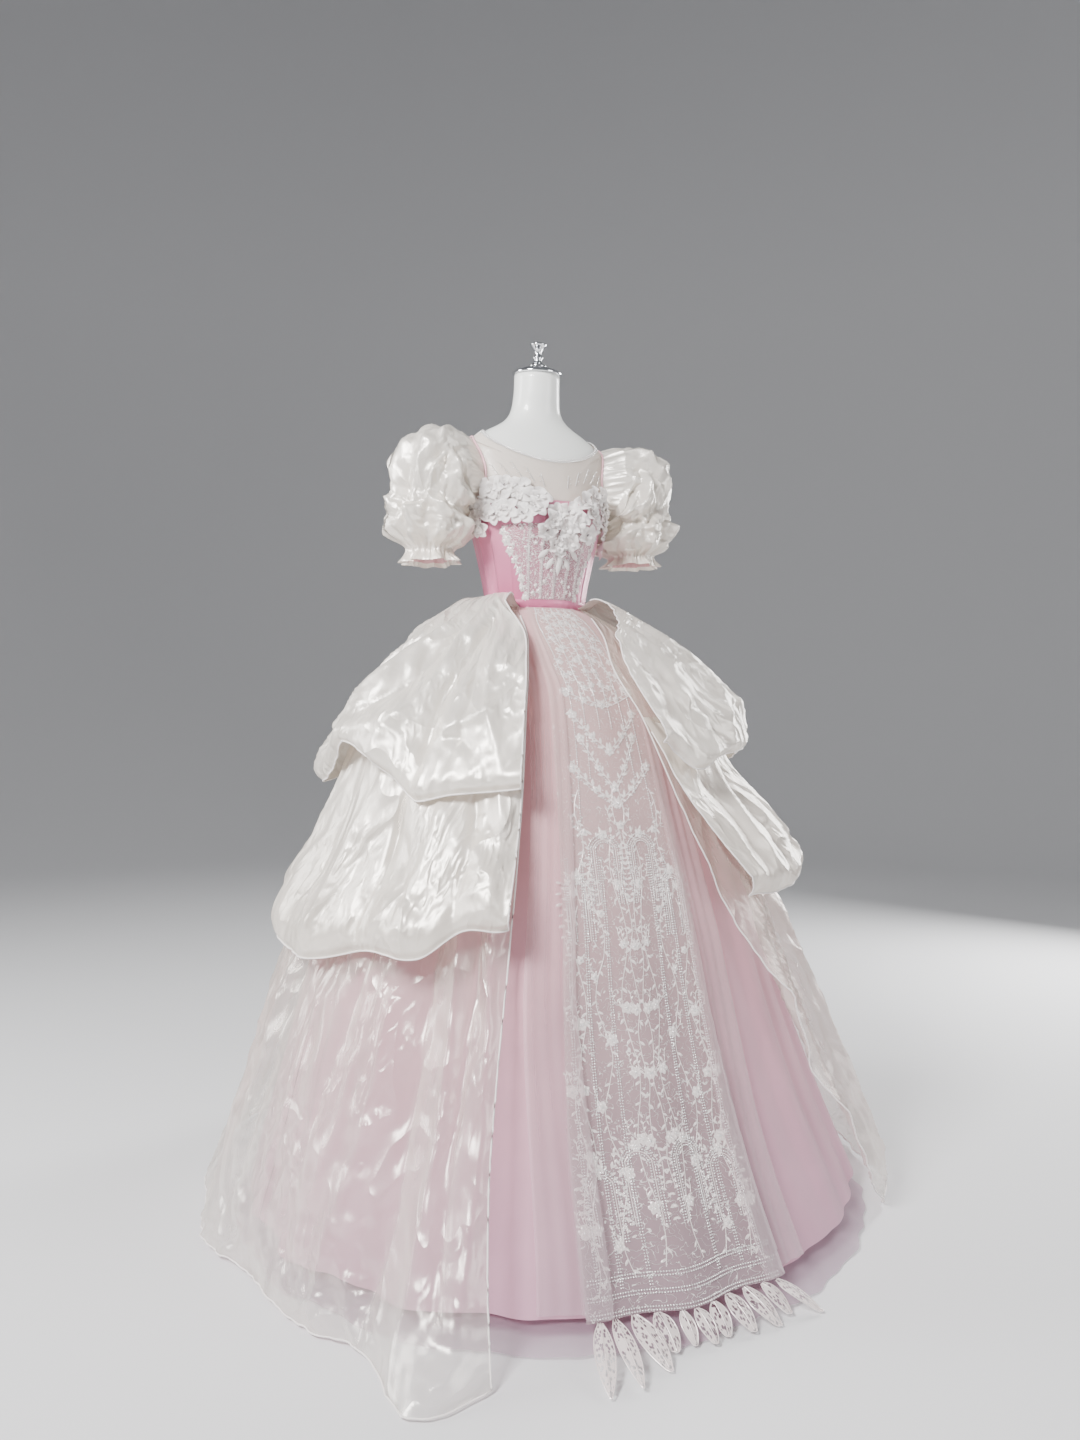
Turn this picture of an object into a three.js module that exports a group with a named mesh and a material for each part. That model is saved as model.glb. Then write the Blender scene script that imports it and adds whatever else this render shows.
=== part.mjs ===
// A layered ball gown on a limbless dress form: a boned bodice with a sheer yoke and raised flowers, two
// puff sleeves, a tulle skirt with a lace front panel, and an open overskirt of two short tiers over a long
// one. Millimetres, +Z up. The origin is the middle of the stand's underside and the gown's front faces -Y.
// A bearing is an angle in degrees about Z from the front, growing towards the wearer's left, which is +X.
import * as THREE from "three";

// Driving dimensions
const WAIST_Z = 1176.4;
const CORSET_TOP_Z = 1385;
const UPPER_TOP_Z = 1178.2;
const NECK_TOP_Z = 1655;
const NECKLINE_FRONT_Z = 1464;
const NECKLINE_BACK_Z = 1498;
const NECKLINE_SHOULDER_Z = 1527;
const SEAM_GAP = 0.4;
const CLOTH = 1.2;
const CORSET_CLOTH = 1.6;
const YOKE_CLOTH = 1;
const YOKE_CLEAR = 2.8;
const NECK_LEAN = 5;

// Armhole: an ellipse on the body, in degrees of bearing and millimetres of height. A degree there is 2.4 mm
// long.
const ARMHOLE = { bearing: 90, z: 1447, halfBearing: 28, halfHeight: 61 };
const ARMHOLE_DEGREE = 2.4;

// Bodice seams in degrees: the narrow gap between two panels, and half the gap that the zip fills at the
// back.
const PANEL_INSET = 0.12;
const BACK_INSET = 2;
const WAISTBAND = { low: 3.4, high: 16, thick: 1.4 };
const ZIP = { bearings: [178.3, 180, 181.7], belowNeckline: 2 };

// Yoke: where the armhole ends as a share of its height, the half gap behind, and the beaded band on its
// edge.
const YOKE = { shoulder: 0.88, halfGap: 0.032, armholeGap: 0.3 };
const NECK_BAND = { low: 1.2, high: 5.6, clear: 1, out: 4 };

// Piping round the armholes, and the sleeve's own seam line, as distances outside the armhole's edge.
const PIPING = { inner: 6, outer: 9, clear: 4.4, out: 5.6, columns: 28 };
const SLEEVE_SEAM = 5;

// Grid counts
const BODY_COLUMNS = 40;
const SKIRT_COLUMNS = 64;
const OVERSKIRT_COLUMNS = 27;
const SLEEVE_COLUMNS = 24;
const YOKE_COLUMNS = 9;
const YOKE_ROWS = 7;

// The stand. Profiles are pairs of radius and height.
const BASE_RADIUS = 175;
const BASE_TOP_Z = 46;
const POLE_RADIUS = 16;
const FORM_BOTTOM_Z = 880;
const BASE_PROFILE = [
  [0, 0], [BASE_RADIUS - 10, 0], [BASE_RADIUS, 5], [BASE_RADIUS - 10, 11],
  [60, 15], [26, 24], [22, BASE_TOP_Z], [0, BASE_TOP_Z],
];
const CAP_PROFILE = [[0, 0.6], [49, 0.6], [51, 4], [46, 7], [42, 9], [33, 12], [30, 14], [20, 16], [0, 16]];
const KNOB_PROFILE = [
  [0, 16.5], [17, 16.5], [18, 20], [9, 27], [8, 33], [11, 36],
  [7, 42], [8, 50], [17, 60], [17, 63], [0, 64],
];

const COLOURS = {
  form: { color: 0xe9ebe4, roughness: 0.35, metalness: 0 },
  chrome: { color: 0xd8dadc, roughness: 0.12, metalness: 1 },
  steel: { color: 0xb9bcc0, roughness: 0.3, metalness: 1 },
  pink: { color: 0xd98aa2, roughness: 0.5, metalness: 0 },
  nude: { color: 0xe8d8ce, roughness: 0.7, metalness: 0 },
  tulle: { color: 0xe6bfc8, roughness: 0.85, metalness: 0 },
  lining: { color: 0xb5a9b1, roughness: 0.7, metalness: 0 },
  lace: { color: 0xe9dcd8, roughness: 0.6, metalness: 0 },
  organza: { color: 0xe9e6da, roughness: 0.3, metalness: 0 },
  flower: { color: 0xeceae6, roughness: 0.55, metalness: 0 },
};

// Horizontal sections of the form: half width, and depth in front of and behind the middle, which shifts by
// y.
const BODY = [
  { z: 880, half: 128, front: 94, back: 104, y: 0 },
  { z: 940, half: 148, front: 100, back: 116, y: 0 },
  { z: 1010, half: 150, front: 98, back: 116, y: 0 },
  { z: 1090, half: 134, front: 90, back: 98, y: 0 },
  { z: 1172, half: 106, front: 78, back: 74, y: 0 },
  { z: 1220, half: 109, front: 83, back: 75, y: 0 },
  { z: 1265, half: 118, front: 92, back: 82, y: 0 },
  { z: 1345, half: 136, front: 104, back: 94, y: 0 },
  { z: 1400, half: 142, front: 98, back: 98, y: 0 },
  { z: 1450, half: 147, front: 86, back: 98, y: 0 },
  { z: 1485, half: 149, front: 76, back: 93, y: 0 },
  { z: 1510, half: 142, front: 66, back: 84, y: 0 },
  { z: 1533, half: 112, front: 56, back: 72, y: 0 },
  { z: 1556, half: 72, front: 50, back: 60, y: 1 },
  { z: 1578, half: 53, front: 47, back: 54, y: -1 },
  { z: 1612, half: 47, front: 46, back: 49, y: -7 },
  { z: 1655, half: 46, front: 46, back: 47, y: -10 },
];
const BUST = { bearing: 25, z: 1342, spread: 17, rise: 42, out: 20 };
const CORSET_ROWS = [WAIST_Z, 1220, 1265, 1305, 1345, CORSET_TOP_Z];
const SHOULDER_ROWS = [1415, 1440, 1462, 1480, 1495, 1507, 1518, 1528, 1538, 1550, 1575, 1612, NECK_TOP_Z];
const FORM_ROWS = [FORM_BOTTOM_Z, 960, 1080, ...CORSET_ROWS, ...SHOULDER_ROWS];

// Skirt layers: reach from the axis at the front, each side and back, by height. right and left are the
// wearer's.
const TULLE = [
  { z: 1175.6, front: 80, right: 108, left: 108, back: 76, fold: 0 },
  { z: 1125, front: 152, right: 182, left: 184, back: 164, fold: 2 },
  { z: 1060, front: 222, right: 254, left: 264, back: 248, fold: 3 },
  { z: 960, front: 290, right: 320, left: 334, back: 334, fold: 3.5 },
  { z: 640, front: 384, right: 404, left: 432, back: 434, fold: 5 },
  { z: 450, front: 424, right: 452, left: 496, back: 492, fold: 8 },
  { z: 250, front: 482, right: 502, left: 574, back: 560, fold: 11 },
  { z: 42, front: 578, right: 558, left: 652, back: 640, fold: 13 },
];
// The sheer layer that shows below the tulle; its first row is the tulle's own row, moved in.
const LINING = [
  { z: 250, front: 0, right: 0, left: 0, back: 0, fold: 0 },
  { z: 52, front: 544, right: 528, left: 618, back: 606, fold: 5 },
  { z: 3, front: 618, right: 584, left: 668, back: 672, fold: 6 },
];
const LONG_LAYER = [
  { z: 1177.2, front: 81.3, right: 109.3, left: 109.3, back: 77.3, fold: 0, flare: 0 },
  { z: 1125, front: 164, right: 195, left: 198, back: 178, fold: 2, flare: 0 },
  { z: 1060, front: 236, right: 269, left: 280, back: 263, fold: 3, flare: 0 },
  { z: 960, front: 306, right: 338, left: 352, back: 352, fold: 4, flare: 0 },
  { z: 820, front: 358, right: 382, left: 400, back: 408, fold: 5, flare: 0 },
  { z: 640, front: 410, right: 434, left: 484, back: 468, fold: 7, flare: 0 },
  { z: 450, front: 464, right: 506, left: 580, back: 560, fold: 8, flare: 0 },
  { z: 250, front: 530, right: 560, left: 656, back: 606, fold: 9, flare: 0.14 },
  { z: 90, front: 608, right: 594, left: 708, back: 680, fold: 9, flare: 0.45 },
  { z: 4, front: 640, right: 620, left: 728, back: 720, fold: 9, flare: 1 },
];
// The long layer's hem: kicked out at the front edge, close at the side and swept into a train behind.
const LONG_HEM = [
  { bearing: 30, right: 700, left: 700 },
  { bearing: 37, right: 762, left: 700 },
  { bearing: 46, right: 682, left: 690 },
  { bearing: 58, right: 640, left: 690 },
  { bearing: 68, right: 626, left: 722 },
  { bearing: 80, right: 630, left: 742 },
  { bearing: 96, right: 646, left: 750 },
  { bearing: 120, right: 680, left: 762 },
  { bearing: 145, right: 770, left: 800 },
  { bearing: 180, right: 850, left: 850 },
];
// Where the overskirt's front edges run, as bearings by height.
const FRONT_EDGE = [
  { z: 1185, right: 46, left: 50 },
  { z: 1125, right: 31, left: 24 },
  { z: 1060, right: 28, left: 12 },
  { z: 960, right: 28, left: 14 },
  { z: 820, right: 28.5, left: 19 },
  { z: 640, right: 30, left: 28 },
  { z: 450, right: 31.5, left: 38 },
  { z: 250, right: 32, left: 44 },
  { z: 90, right: 31, left: 50 },
  { z: 0, right: 30, left: 58 },
];
// The short tiers: drop is the share of the way from the top edge to the hem, below 0 where the cloth puffs
// up.
const UPPER_TIER = [
  { drop: 0, front: 82.3, right: 110.3, left: 110.3, back: 78.3, fold: 0 },
  { drop: -0.065, front: 118, right: 148, left: 152, back: 128, fold: 3 },
  { drop: 0.1, front: 190, right: 218, left: 232, back: 208, fold: 5 },
  { drop: 0.27, front: 256, right: 278, left: 304, back: 276, fold: 6 },
  { drop: 0.48, front: 318, right: 340, left: 384, back: 350, fold: 8 },
  { drop: 0.7, front: 364, right: 394, left: 436, back: 408, fold: 10 },
  { drop: 0.9, front: 399, right: 434, left: 444, back: 450, fold: 11 },
  { drop: 1, front: 398, right: 430, left: 440, back: 450, fold: 12 },
];
const UPPER_HEM = [
  { bearing: 12, right: 850, left: 916 },
  { bearing: 20, right: 850, left: 868 },
  { bearing: 30, right: 838, left: 884 },
  { bearing: 45, right: 828, left: 898 },
  { bearing: 57, right: 816, left: 904 },
  { bearing: 66, right: 858, left: 900 },
  { bearing: 80, right: 918, left: 874 },
  { bearing: 90, right: 880, left: 860 },
  { bearing: 110, right: 832, left: 852 },
  { bearing: 130, right: 856, left: 856 },
  { bearing: 150, right: 846, left: 850 },
  { bearing: 180, right: 850, left: 850 },
];
const LOWER_TIER = [
  { drop: 0, front: 0, right: 0, left: 0, back: 0, fold: 0 },
  { drop: 0.16, front: 344, right: 378, left: 386, back: 394, fold: 2 },
  { drop: 0.38, front: 380, right: 408, left: 420, back: 430, fold: 4 },
  { drop: 0.62, front: 430, right: 448, left: 504, back: 482, fold: 8 },
  { drop: 0.86, front: 480, right: 512, left: 556, back: 548, fold: 12 },
  { drop: 1, front: 478, right: 520, left: 550, back: 548, fold: 14 },
];
const LOWER_HEM = [
  { bearing: 20, right: 640, left: 634 },
  { bearing: 31, right: 613, left: 642 },
  { bearing: 39, right: 612, left: 637 },
  { bearing: 47, right: 566, left: 642 },
  { bearing: 60, right: 566, left: 646 },
  { bearing: 75, right: 538, left: 612 },
  { bearing: 95, right: 543, left: 582 },
  { bearing: 115, right: 560, left: 562 },
  { bearing: 145, right: 572, left: 574 },
  { bearing: 180, right: 548, left: 548 },
];
// Deep pleats that run from the waist to the hem: width in degrees, depth inwards in millimetres.
const UPPER_PLEATS = [
  { bearing: 61, width: 7, depth: 20 },
  { bearing: 88, width: 7, depth: 17 },
  { bearing: 122, width: 8, depth: 16 },
  { bearing: 155, width: 8, depth: 16 },
];
const LOWER_PLEATS = [
  { bearing: 40, width: 6, depth: 16 },
  { bearing: 68, width: 7, depth: 22 },
  { bearing: 103, width: 8, depth: 18 },
  { bearing: 138, width: 9, depth: 20 },
];
const PLEAT_GROWTH = 1.3;
const LONG_PLEATS = [
  { bearing: 37, width: 5, depth: -14 },
  { bearing: 49, width: 6, depth: 16 },
  { bearing: 78, width: 8, depth: 10 },
  { bearing: 150, width: 10, depth: -14 },
];

// How each short tier is cut: its top edge, hem, pleats, the place of its folds, and how far its front edge
// is ahead of the long layer's, in degrees. The lower tier is sewn to one row of the long layer.
const LOWER_SEAM_ROW = 3;
const UPPER_CUT = {
  top: UPPER_TOP_Z,
  hems: UPPER_HEM,
  pleats: UPPER_PLEATS,
  shift: 15,
  ahead: { right: 0, left: 5 },
};
const LOWER_CUT = {
  top: LONG_LAYER[LOWER_SEAM_ROW].z,
  hems: LOWER_HEM,
  pleats: LOWER_PLEATS,
  shift: 150,
  ahead: { right: 0, left: 0 },
};

// The lace panel down the front: half width by height.
const LACE = [
  { z: 1175.6, half: 50 },
  { z: 1125, half: 70 },
  { z: 1060, half: 86 },
  { z: 960, half: 98 },
  { z: 820, half: 108 },
  { z: 640, half: 122 },
  { z: 450, half: 138 },
  { z: 250, half: 156 },
  { z: 42, half: 176 },
];
const LACE_COLUMNS = 10;
const LACE_CLEAR = 3.2;
const LACE_WAVES = 2;
const LACE_WAVE_HEIGHT = 8;
const LACE_TOP = { clear: 0.6, rise: 1.2 };

// Lace leaves sewn along the panel's hem: where along it, length, half width, splay outwards and sideways
// turn.
const LEAVES = [
  { bearing: -15.4, long: 132, half: 15, out: 0.97, turn: -6 },
  { bearing: -13, long: 126, half: 14, out: 0.97, turn: 3 },
  { bearing: -9.8, long: 104, half: 19, out: 0.94, turn: 14 },
  { bearing: -6.2, long: 66, half: 18, out: 0.82, turn: 10 },
  { bearing: -2.4, long: 52, half: 12, out: 0.72, turn: 6 },
  { bearing: -0.1, long: 58, half: 15, out: 0.78, turn: 10 },
  { bearing: 3.3, long: 54, half: 16, out: 0.74, turn: 2 },
  { bearing: 6.6, long: 70, half: 18, out: 0.85, turn: 6 },
  { bearing: 10.2, long: 78, half: 19, out: 0.88, turn: 12 },
  { bearing: 13.4, long: 62, half: 17, out: 0.8, turn: 18 },
  { bearing: 16, long: 84, half: 15, out: 0.9, turn: 26 },
];
// A leaf's gap to the hem, the rise of its arch, the droop of its edges and of its tip, the extra height of
// every second leaf, and how low it may reach.
const LEAF = {
  gap: 0.7,
  arch: 20,
  cup: 3,
  sag: 1,
  droop: 2.4,
  second: 2.4,
  floor: 5,
  secondFloor: 2.5,
  thick: 1,
};
const LEAF_SHAPE = [
  { along: 0, half: 0.16 },
  { along: 0.28, half: 0.9 },
  { along: 0.55, half: 1 },
  { along: 0.82, half: 0.56 },
  { along: 1, half: 0.08 },
];

// Sleeve rings: centre, the way the tube runs (0 is straight out, 90 is straight down), and half sizes.
const SLEEVE = [
  { x: 170, z: 1452, run: 8, across: 74, deep: 78, fold: 3, turn: 0 },
  { x: 198, z: 1444, run: 28, across: 84, deep: 94, fold: 8, turn: 9 },
  { x: 220, z: 1414, run: 52, across: 80, deep: 98, fold: 9, turn: 20 },
  { x: 227, z: 1376, run: 70, across: 62, deep: 82, fold: 7, turn: 32 },
  { x: 229, z: 1343, run: 78, across: 75, deep: 90, fold: 9, turn: 42 },
  { x: 228, z: 1308, run: 84, across: 63, deep: 74, fold: 8, turn: 50 },
  { x: 226, z: 1286, run: 88, across: 43, deep: 50, fold: 3, turn: 54 },
  { x: 226, z: 1262, run: 90, across: 54, deep: 62, fold: 8, turn: 54 },
];
const SLEEVE_FOLDS = 8;
const SLEEVE_LIFT = 18;
const SLEEVE_CLEAR = 3.4;

// The raised flowers across the bust: a band whose top swells over each side of the bust and drops beyond
// it, and whose bottom falls to a point in the middle.
const FLOWERS = { edge: 72, columns: 30, rows: 4, clear: 4.5, low: 4, high: 12 };
const FLOWER_TOP = { z: 1392, swell: 40, bearing: 34, spread: 16, drop: 24, dropFrom: 52, dropTo: 70 };
const FLOWER_BOTTOM = { z: 1322, point: 62, bearing: 3, spread: 9, side: 14, sideAt: 52, sideSpread: 14 };

const root = new THREE.Group();
const rad = THREE.MathUtils.degToRad;
const { lerp } = THREE.MathUtils;
const materials = Object.fromEntries(
  Object.entries(COLOURS).map(([name, look]) => [name, new THREE.MeshStandardMaterial(look)]),
);

function add(name, geometry, finish) {
  const mesh = new THREE.Mesh(geometry, materials[finish]);
  mesh.name = name;
  root.add(mesh);
  return mesh;
}

// The value of one column of a table at x, on a smooth curve through its rows. key names the column that x
// is in.
function smooth(table, key, x, column) {
  const rising = table[1][key] > table[0][key] ? 1 : -1;
  let i = 0;
  while (i < table.length - 2 && rising * (x - table[i + 1][key]) > 0) i += 1;
  const [low, high] = [table[i], table[i + 1]];
  const span = high[key] - low[key];
  const t = THREE.MathUtils.clamp((x - low[key]) / span, 0, 1);
  const slope = (a, b) => (b[column] - a[column]) / (b[key] - a[key]);
  const before = i > 0 ? slope(table[i - 1], high) : slope(low, high);
  const after = i < table.length - 2 ? slope(low, table[i + 2]) : slope(low, high);
  const [t2, t3] = [t * t, t * t * t];
  return (
    (2 * t3 - 3 * t2 + 1) * low[column] +
    (t3 - 2 * t2 + t) * span * before +
    (3 * t2 - 2 * t3) * high[column] +
    (t3 - t2) * span * after
  );
}

const range = (count, make) => Array.from({ length: count }, (_, i) => make(i));
const bell = (x, middle, width) => Math.exp(-(((x - middle) / width) ** 2));
const at = (bearing, reach, z) =>
  new THREE.Vector3(reach * Math.sin(rad(bearing)), -reach * Math.cos(rad(bearing)), z);

// The closed wall between two grids of points. Rows run from the top down and columns towards the wearer's
// left.
function shell(outer, inner, closed) {
  const rows = outer.length;
  const columns = outer[0].length;
  const index = [];
  const out = (j, i) => j * columns + (i % columns);
  const back = (j, i) => rows * columns + out(j, i);
  const quad = (a, b, c, d) => index.push(a, b, c, a, c, d);
  const last = closed ? columns : columns - 1;
  for (let i = 0; i < last; i += 1) {
    for (let j = 0; j < rows - 1; j += 1) {
      quad(out(j, i), out(j + 1, i), out(j + 1, i + 1), out(j, i + 1));
      quad(back(j, i), back(j, i + 1), back(j + 1, i + 1), back(j + 1, i));
    }
    quad(out(0, i), out(0, i + 1), back(0, i + 1), back(0, i));
    quad(out(rows - 1, i), back(rows - 1, i), back(rows - 1, i + 1), out(rows - 1, i + 1));
  }
  if (!closed) {
    for (let j = 0; j < rows - 1; j += 1) {
      quad(out(j, 0), back(j, 0), back(j + 1, 0), out(j + 1, 0));
      quad(out(j, last), out(j + 1, last), back(j + 1, last), back(j, last));
    }
  }
  const points = [...outer.flat(), ...inner.flat()].flatMap((p) => p.toArray());
  const geometry = new THREE.BufferGeometry();
  geometry.setAttribute("position", new THREE.Float32BufferAttribute(points, 3));
  geometry.setIndex(index);
  return geometry;
}

// The grid moved out by a distance along its own normals; a negative distance moves it in.
function moved(grid, closed, distance) {
  const rows = grid.length;
  const columns = grid[0].length;
  const step = (i) => (closed ? (i + columns) % columns : THREE.MathUtils.clamp(i, 0, columns - 1));
  return grid.map((row, j) =>
    row.map((point, i) => {
      const across = row[step(i + 1)].clone().sub(row[step(i - 1)]);
      const down = grid[Math.min(j + 1, rows - 1)][i].clone().sub(grid[Math.max(j - 1, 0)][i]);
      return point.clone().addScaledVector(down.cross(across).normalize(), distance);
    }),
  );
}

const wall = (grid, closed, thickness) => shell(grid, moved(grid, closed, -thickness), closed);

// Mirrors a grid in the middle plane, with its columns turned round so that its faces still point out.
const mirrored = (grid) =>
  grid.map((row) => row.map((p) => new THREE.Vector3(-p.x, p.y, p.z)).reverse());

// A point on the form's surface, or clear of it by a distance along the surface's own normal.
function bodySurface(bearing, z) {
  const [half, front, back, y] = ["half", "front", "back", "y"].map((c) => smooth(BODY, "z", z, c));
  const side = Math.abs(THREE.MathUtils.euclideanModulo(bearing + 180, 360) - 180);
  const bust = BUST.out * bell(side, BUST.bearing, BUST.spread) * bell(z, BUST.z, BUST.rise);
  const c = Math.cos(rad(bearing));
  const depth = c > 0 ? front + bust : back;
  return new THREE.Vector3(half * Math.sin(rad(bearing)), y - depth * c, z);
}
function bodyPoint(bearing, z, clear) {
  const step = 0.5;
  const across = bodySurface(bearing + step, z).sub(bodySurface(bearing - step, z));
  const down = bodySurface(bearing, z - step).sub(bodySurface(bearing, z + step));
  return bodySurface(bearing, z).addScaledVector(down.cross(across).normalize(), clear);
}
const bodyBearings = (from, to) => {
  const step = 360 / BODY_COLUMNS;
  return range(Math.round((to - from) / step) + 1, (i) => from + i * step);
};

// Dress form: one closed body from hip to neck, with a slanted neck top.
function formGeometry() {
  const bearings = bodyBearings(-180, 180 - 360 / BODY_COLUMNS);
  const rings = FORM_ROWS.map((z) => bearings.map((b) => bodySurface(b, z))).reverse();
  const slant = Math.tan(rad(NECK_LEAN));
  const middleY = BODY[BODY.length - 1].y;
  rings[0].forEach((p) => {
    p.z += slant * (p.y - middleY);
  });
  const rows = rings.length;
  const index = [];
  for (let j = 0; j < rows - 1; j += 1) {
    for (let i = 0; i < BODY_COLUMNS; i += 1) {
      const next = (i + 1) % BODY_COLUMNS;
      const [a, b] = [j * BODY_COLUMNS + i, j * BODY_COLUMNS + next];
      const [c, d] = [b + BODY_COLUMNS, a + BODY_COLUMNS];
      index.push(a, d, c, a, c, b);
    }
  }
  const foot = (rows - 1) * BODY_COLUMNS;
  for (let i = 1; i < BODY_COLUMNS - 1; i += 1) {
    index.push(0, i, i + 1, foot, foot + i + 1, foot + i);
  }
  const geometry = new THREE.BufferGeometry();
  const points = rings.flat().flatMap((p) => p.toArray());
  geometry.setAttribute("position", new THREE.Float32BufferAttribute(points, 3));
  geometry.setIndex(index);
  return geometry;
}

// A turned solid about Z from a profile of radius and height that starts and ends on the axis.
function turned(profile, segments) {
  const points = profile.map(([r, z]) => new THREE.Vector2(r, z));
  return new THREE.LatheGeometry(points, segments).rotateX(Math.PI / 2);
}

function addStand() {
  add("stand_base", turned(BASE_PROFILE, 24), "steel");
  const [foot, head] = [BASE_TOP_Z + SEAM_GAP, FORM_BOTTOM_Z - SEAM_GAP];
  add("stand_pole", turned([[0, foot], [POLE_RADIUS, foot], [POLE_RADIUS, head], [0, head]], 16), "steel");
}

// The chrome cap and its knob lean with the neck.
function addNeckCap() {
  const lean = new THREE.Group();
  lean.position.set(0, BODY[BODY.length - 1].y, NECK_TOP_Z);
  lean.rotation.x = rad(NECK_LEAN);
  root.add(lean);
  lean.add(add("neck_cap", turned(CAP_PROFILE, 24), "chrome"));
  lean.add(add("neck_knob", turned(KNOB_PROFILE, 14), "chrome"));
}

// Corset panels between seams, each a wall over the form.
function addCorset() {
  const seams = [
    { name: "corset_front", from: -27, to: 27 },
    { name: "corset_side_front_left", from: 27, to: 63 },
    { name: "corset_side_left", from: 63, to: 108 },
    { name: "corset_back_left", from: 108, to: 180 },
    { name: "corset_side_front_right", from: -63, to: -27 },
    { name: "corset_side_right", from: -108, to: -63 },
    { name: "corset_back_right", from: -180, to: -108 },
  ];
  for (const { name, from, to } of seams) {
    const bearings = bodyBearings(from, to);
    bearings[0] += from === -180 ? BACK_INSET : PANEL_INSET;
    bearings[bearings.length - 1] -= to === 180 ? BACK_INSET : PANEL_INSET;
    const rows = [...CORSET_ROWS].reverse();
    const outer = rows.map((z) => bearings.map((b) => bodyPoint(b, z, SEAM_GAP + CORSET_CLOTH)));
    const inner = rows.map((z) => bearings.map((b) => bodyPoint(b, z, SEAM_GAP)));
    add(name, shell(outer, inner, false), "pink");
  }
  addWaistband();
}
function addWaistband() {
  const bearings = bodyBearings(-180, 180 - 360 / BODY_COLUMNS);
  const clear = SEAM_GAP * 2 + CORSET_CLOTH;
  const [low, high] = CORSET_ROWS;
  const band = (out) =>
    [WAISTBAND.high, WAISTBAND.low].map((up) =>
      bearings.map((b) => bodyPoint(b, low, out).lerp(bodyPoint(b, high, out), up / (high - low))),
    );
  add("waistband", shell(band(clear + WAISTBAND.thick), band(clear), true), "pink");
}

// The sheer yoke runs from the corset to the neckline, scooped round the armholes to a short shoulder seam.
function neckline(bearing) {
  const low = Math.cos(rad(bearing)) > 0 ? NECKLINE_FRONT_Z : NECKLINE_BACK_Z;
  return lerp(low, NECKLINE_SHOULDER_Z, Math.sin(rad(bearing)) ** 2);
}
// A point of the yoke: side runs from -1 to 1 between the armholes, up from 0 at the corset to 1 at the
// neck.
function yokeSpot(side, up, behind) {
  const { shoulder, armholeGap } = YOKE;
  const turn = Math.min(up / shoulder, 1) * Math.PI;
  const bottom = CORSET_TOP_Z + SEAM_GAP;
  const armhole = {
    bearing: ARMHOLE.bearing - armholeGap - ARMHOLE.halfBearing * Math.sin(turn),
    z: ARMHOLE.z - ARMHOLE.halfHeight * Math.cos(turn),
  };
  if (up > shoulder) armhole.z = lerp(armhole.z, NECKLINE_SHOULDER_Z, (up - shoulder) / (1 - shoulder));
  const across = Math.abs(side);
  const bearing = behind ? 180 - side * armhole.bearing : side * armhole.bearing;
  const top = neckline(behind ? 180 - 90 * across : 90 * across);
  const z = lerp(bottom, top, up) + across * (armhole.z - lerp(bottom, NECKLINE_SHOULDER_Z, up));
  return { bearing, z };
}
function addYoke() {
  const pieces = [
    { name: "yoke_front", from: -1, to: 1, columns: 2 * YOKE_COLUMNS, behind: false },
    { name: "yoke_back_left", from: 1, to: YOKE.halfGap, columns: YOKE_COLUMNS, behind: true },
    { name: "yoke_back_right", from: -YOKE.halfGap, to: -1, columns: YOKE_COLUMNS, behind: true },
  ];
  for (const { name, from, to, columns, behind } of pieces) {
    const grid = (clear) =>
      range(YOKE_ROWS + 1, (j) =>
        range(columns + 1, (i) => {
          const { bearing, z } = yokeSpot(lerp(from, to, i / columns), 1 - j / YOKE_ROWS, behind);
          return bodyPoint(bearing, z, clear);
        }),
      );
    add(name, shell(grid(YOKE_CLEAR + YOKE_CLOTH), grid(YOKE_CLEAR), false), "nude");
  }
}
function addNeckBand() {
  const { low, high, clear, out } = NECK_BAND;
  const bearings = bodyBearings(-180, 180 - 360 / BODY_COLUMNS);
  const row = (up, distance) => bearings.map((b) => bodyPoint(b, neckline(b) + up, distance));
  const band = (distance) => [high, low].map((up) => row(up, distance));
  add("neckline_beading", shell(band(out), band(clear), true), "flower");
}

// A narrow closed zip tape joins the two backs from waist to neckline.
function addZip() {
  const between = FORM_ROWS.filter((z) => z < NECKLINE_BACK_Z && z >= WAIST_Z).reverse();
  const rows = [NECKLINE_BACK_Z - ZIP.belowNeckline, ...between];
  const grid = (clear) => rows.map((z) => ZIP.bearings.map((b) => bodyPoint(b, z, clear)));
  add("back_zip", shell(grid(SEAM_GAP + YOKE_CLOTH), grid(SEAM_GAP), false), "pink");
}

// A ring of points on the body round one armhole, wider than the opening by a distance.
function armholeRing(wider, clear, columns) {
  return range(columns, (i) => {
    const t = rad((360 * i) / columns);
    const bearing = ARMHOLE.bearing - (ARMHOLE.halfBearing + wider / ARMHOLE_DEGREE) * Math.sin(t);
    return bodyPoint(bearing, ARMHOLE.z + (ARMHOLE.halfHeight + wider) * Math.cos(t), clear);
  });
}

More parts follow.
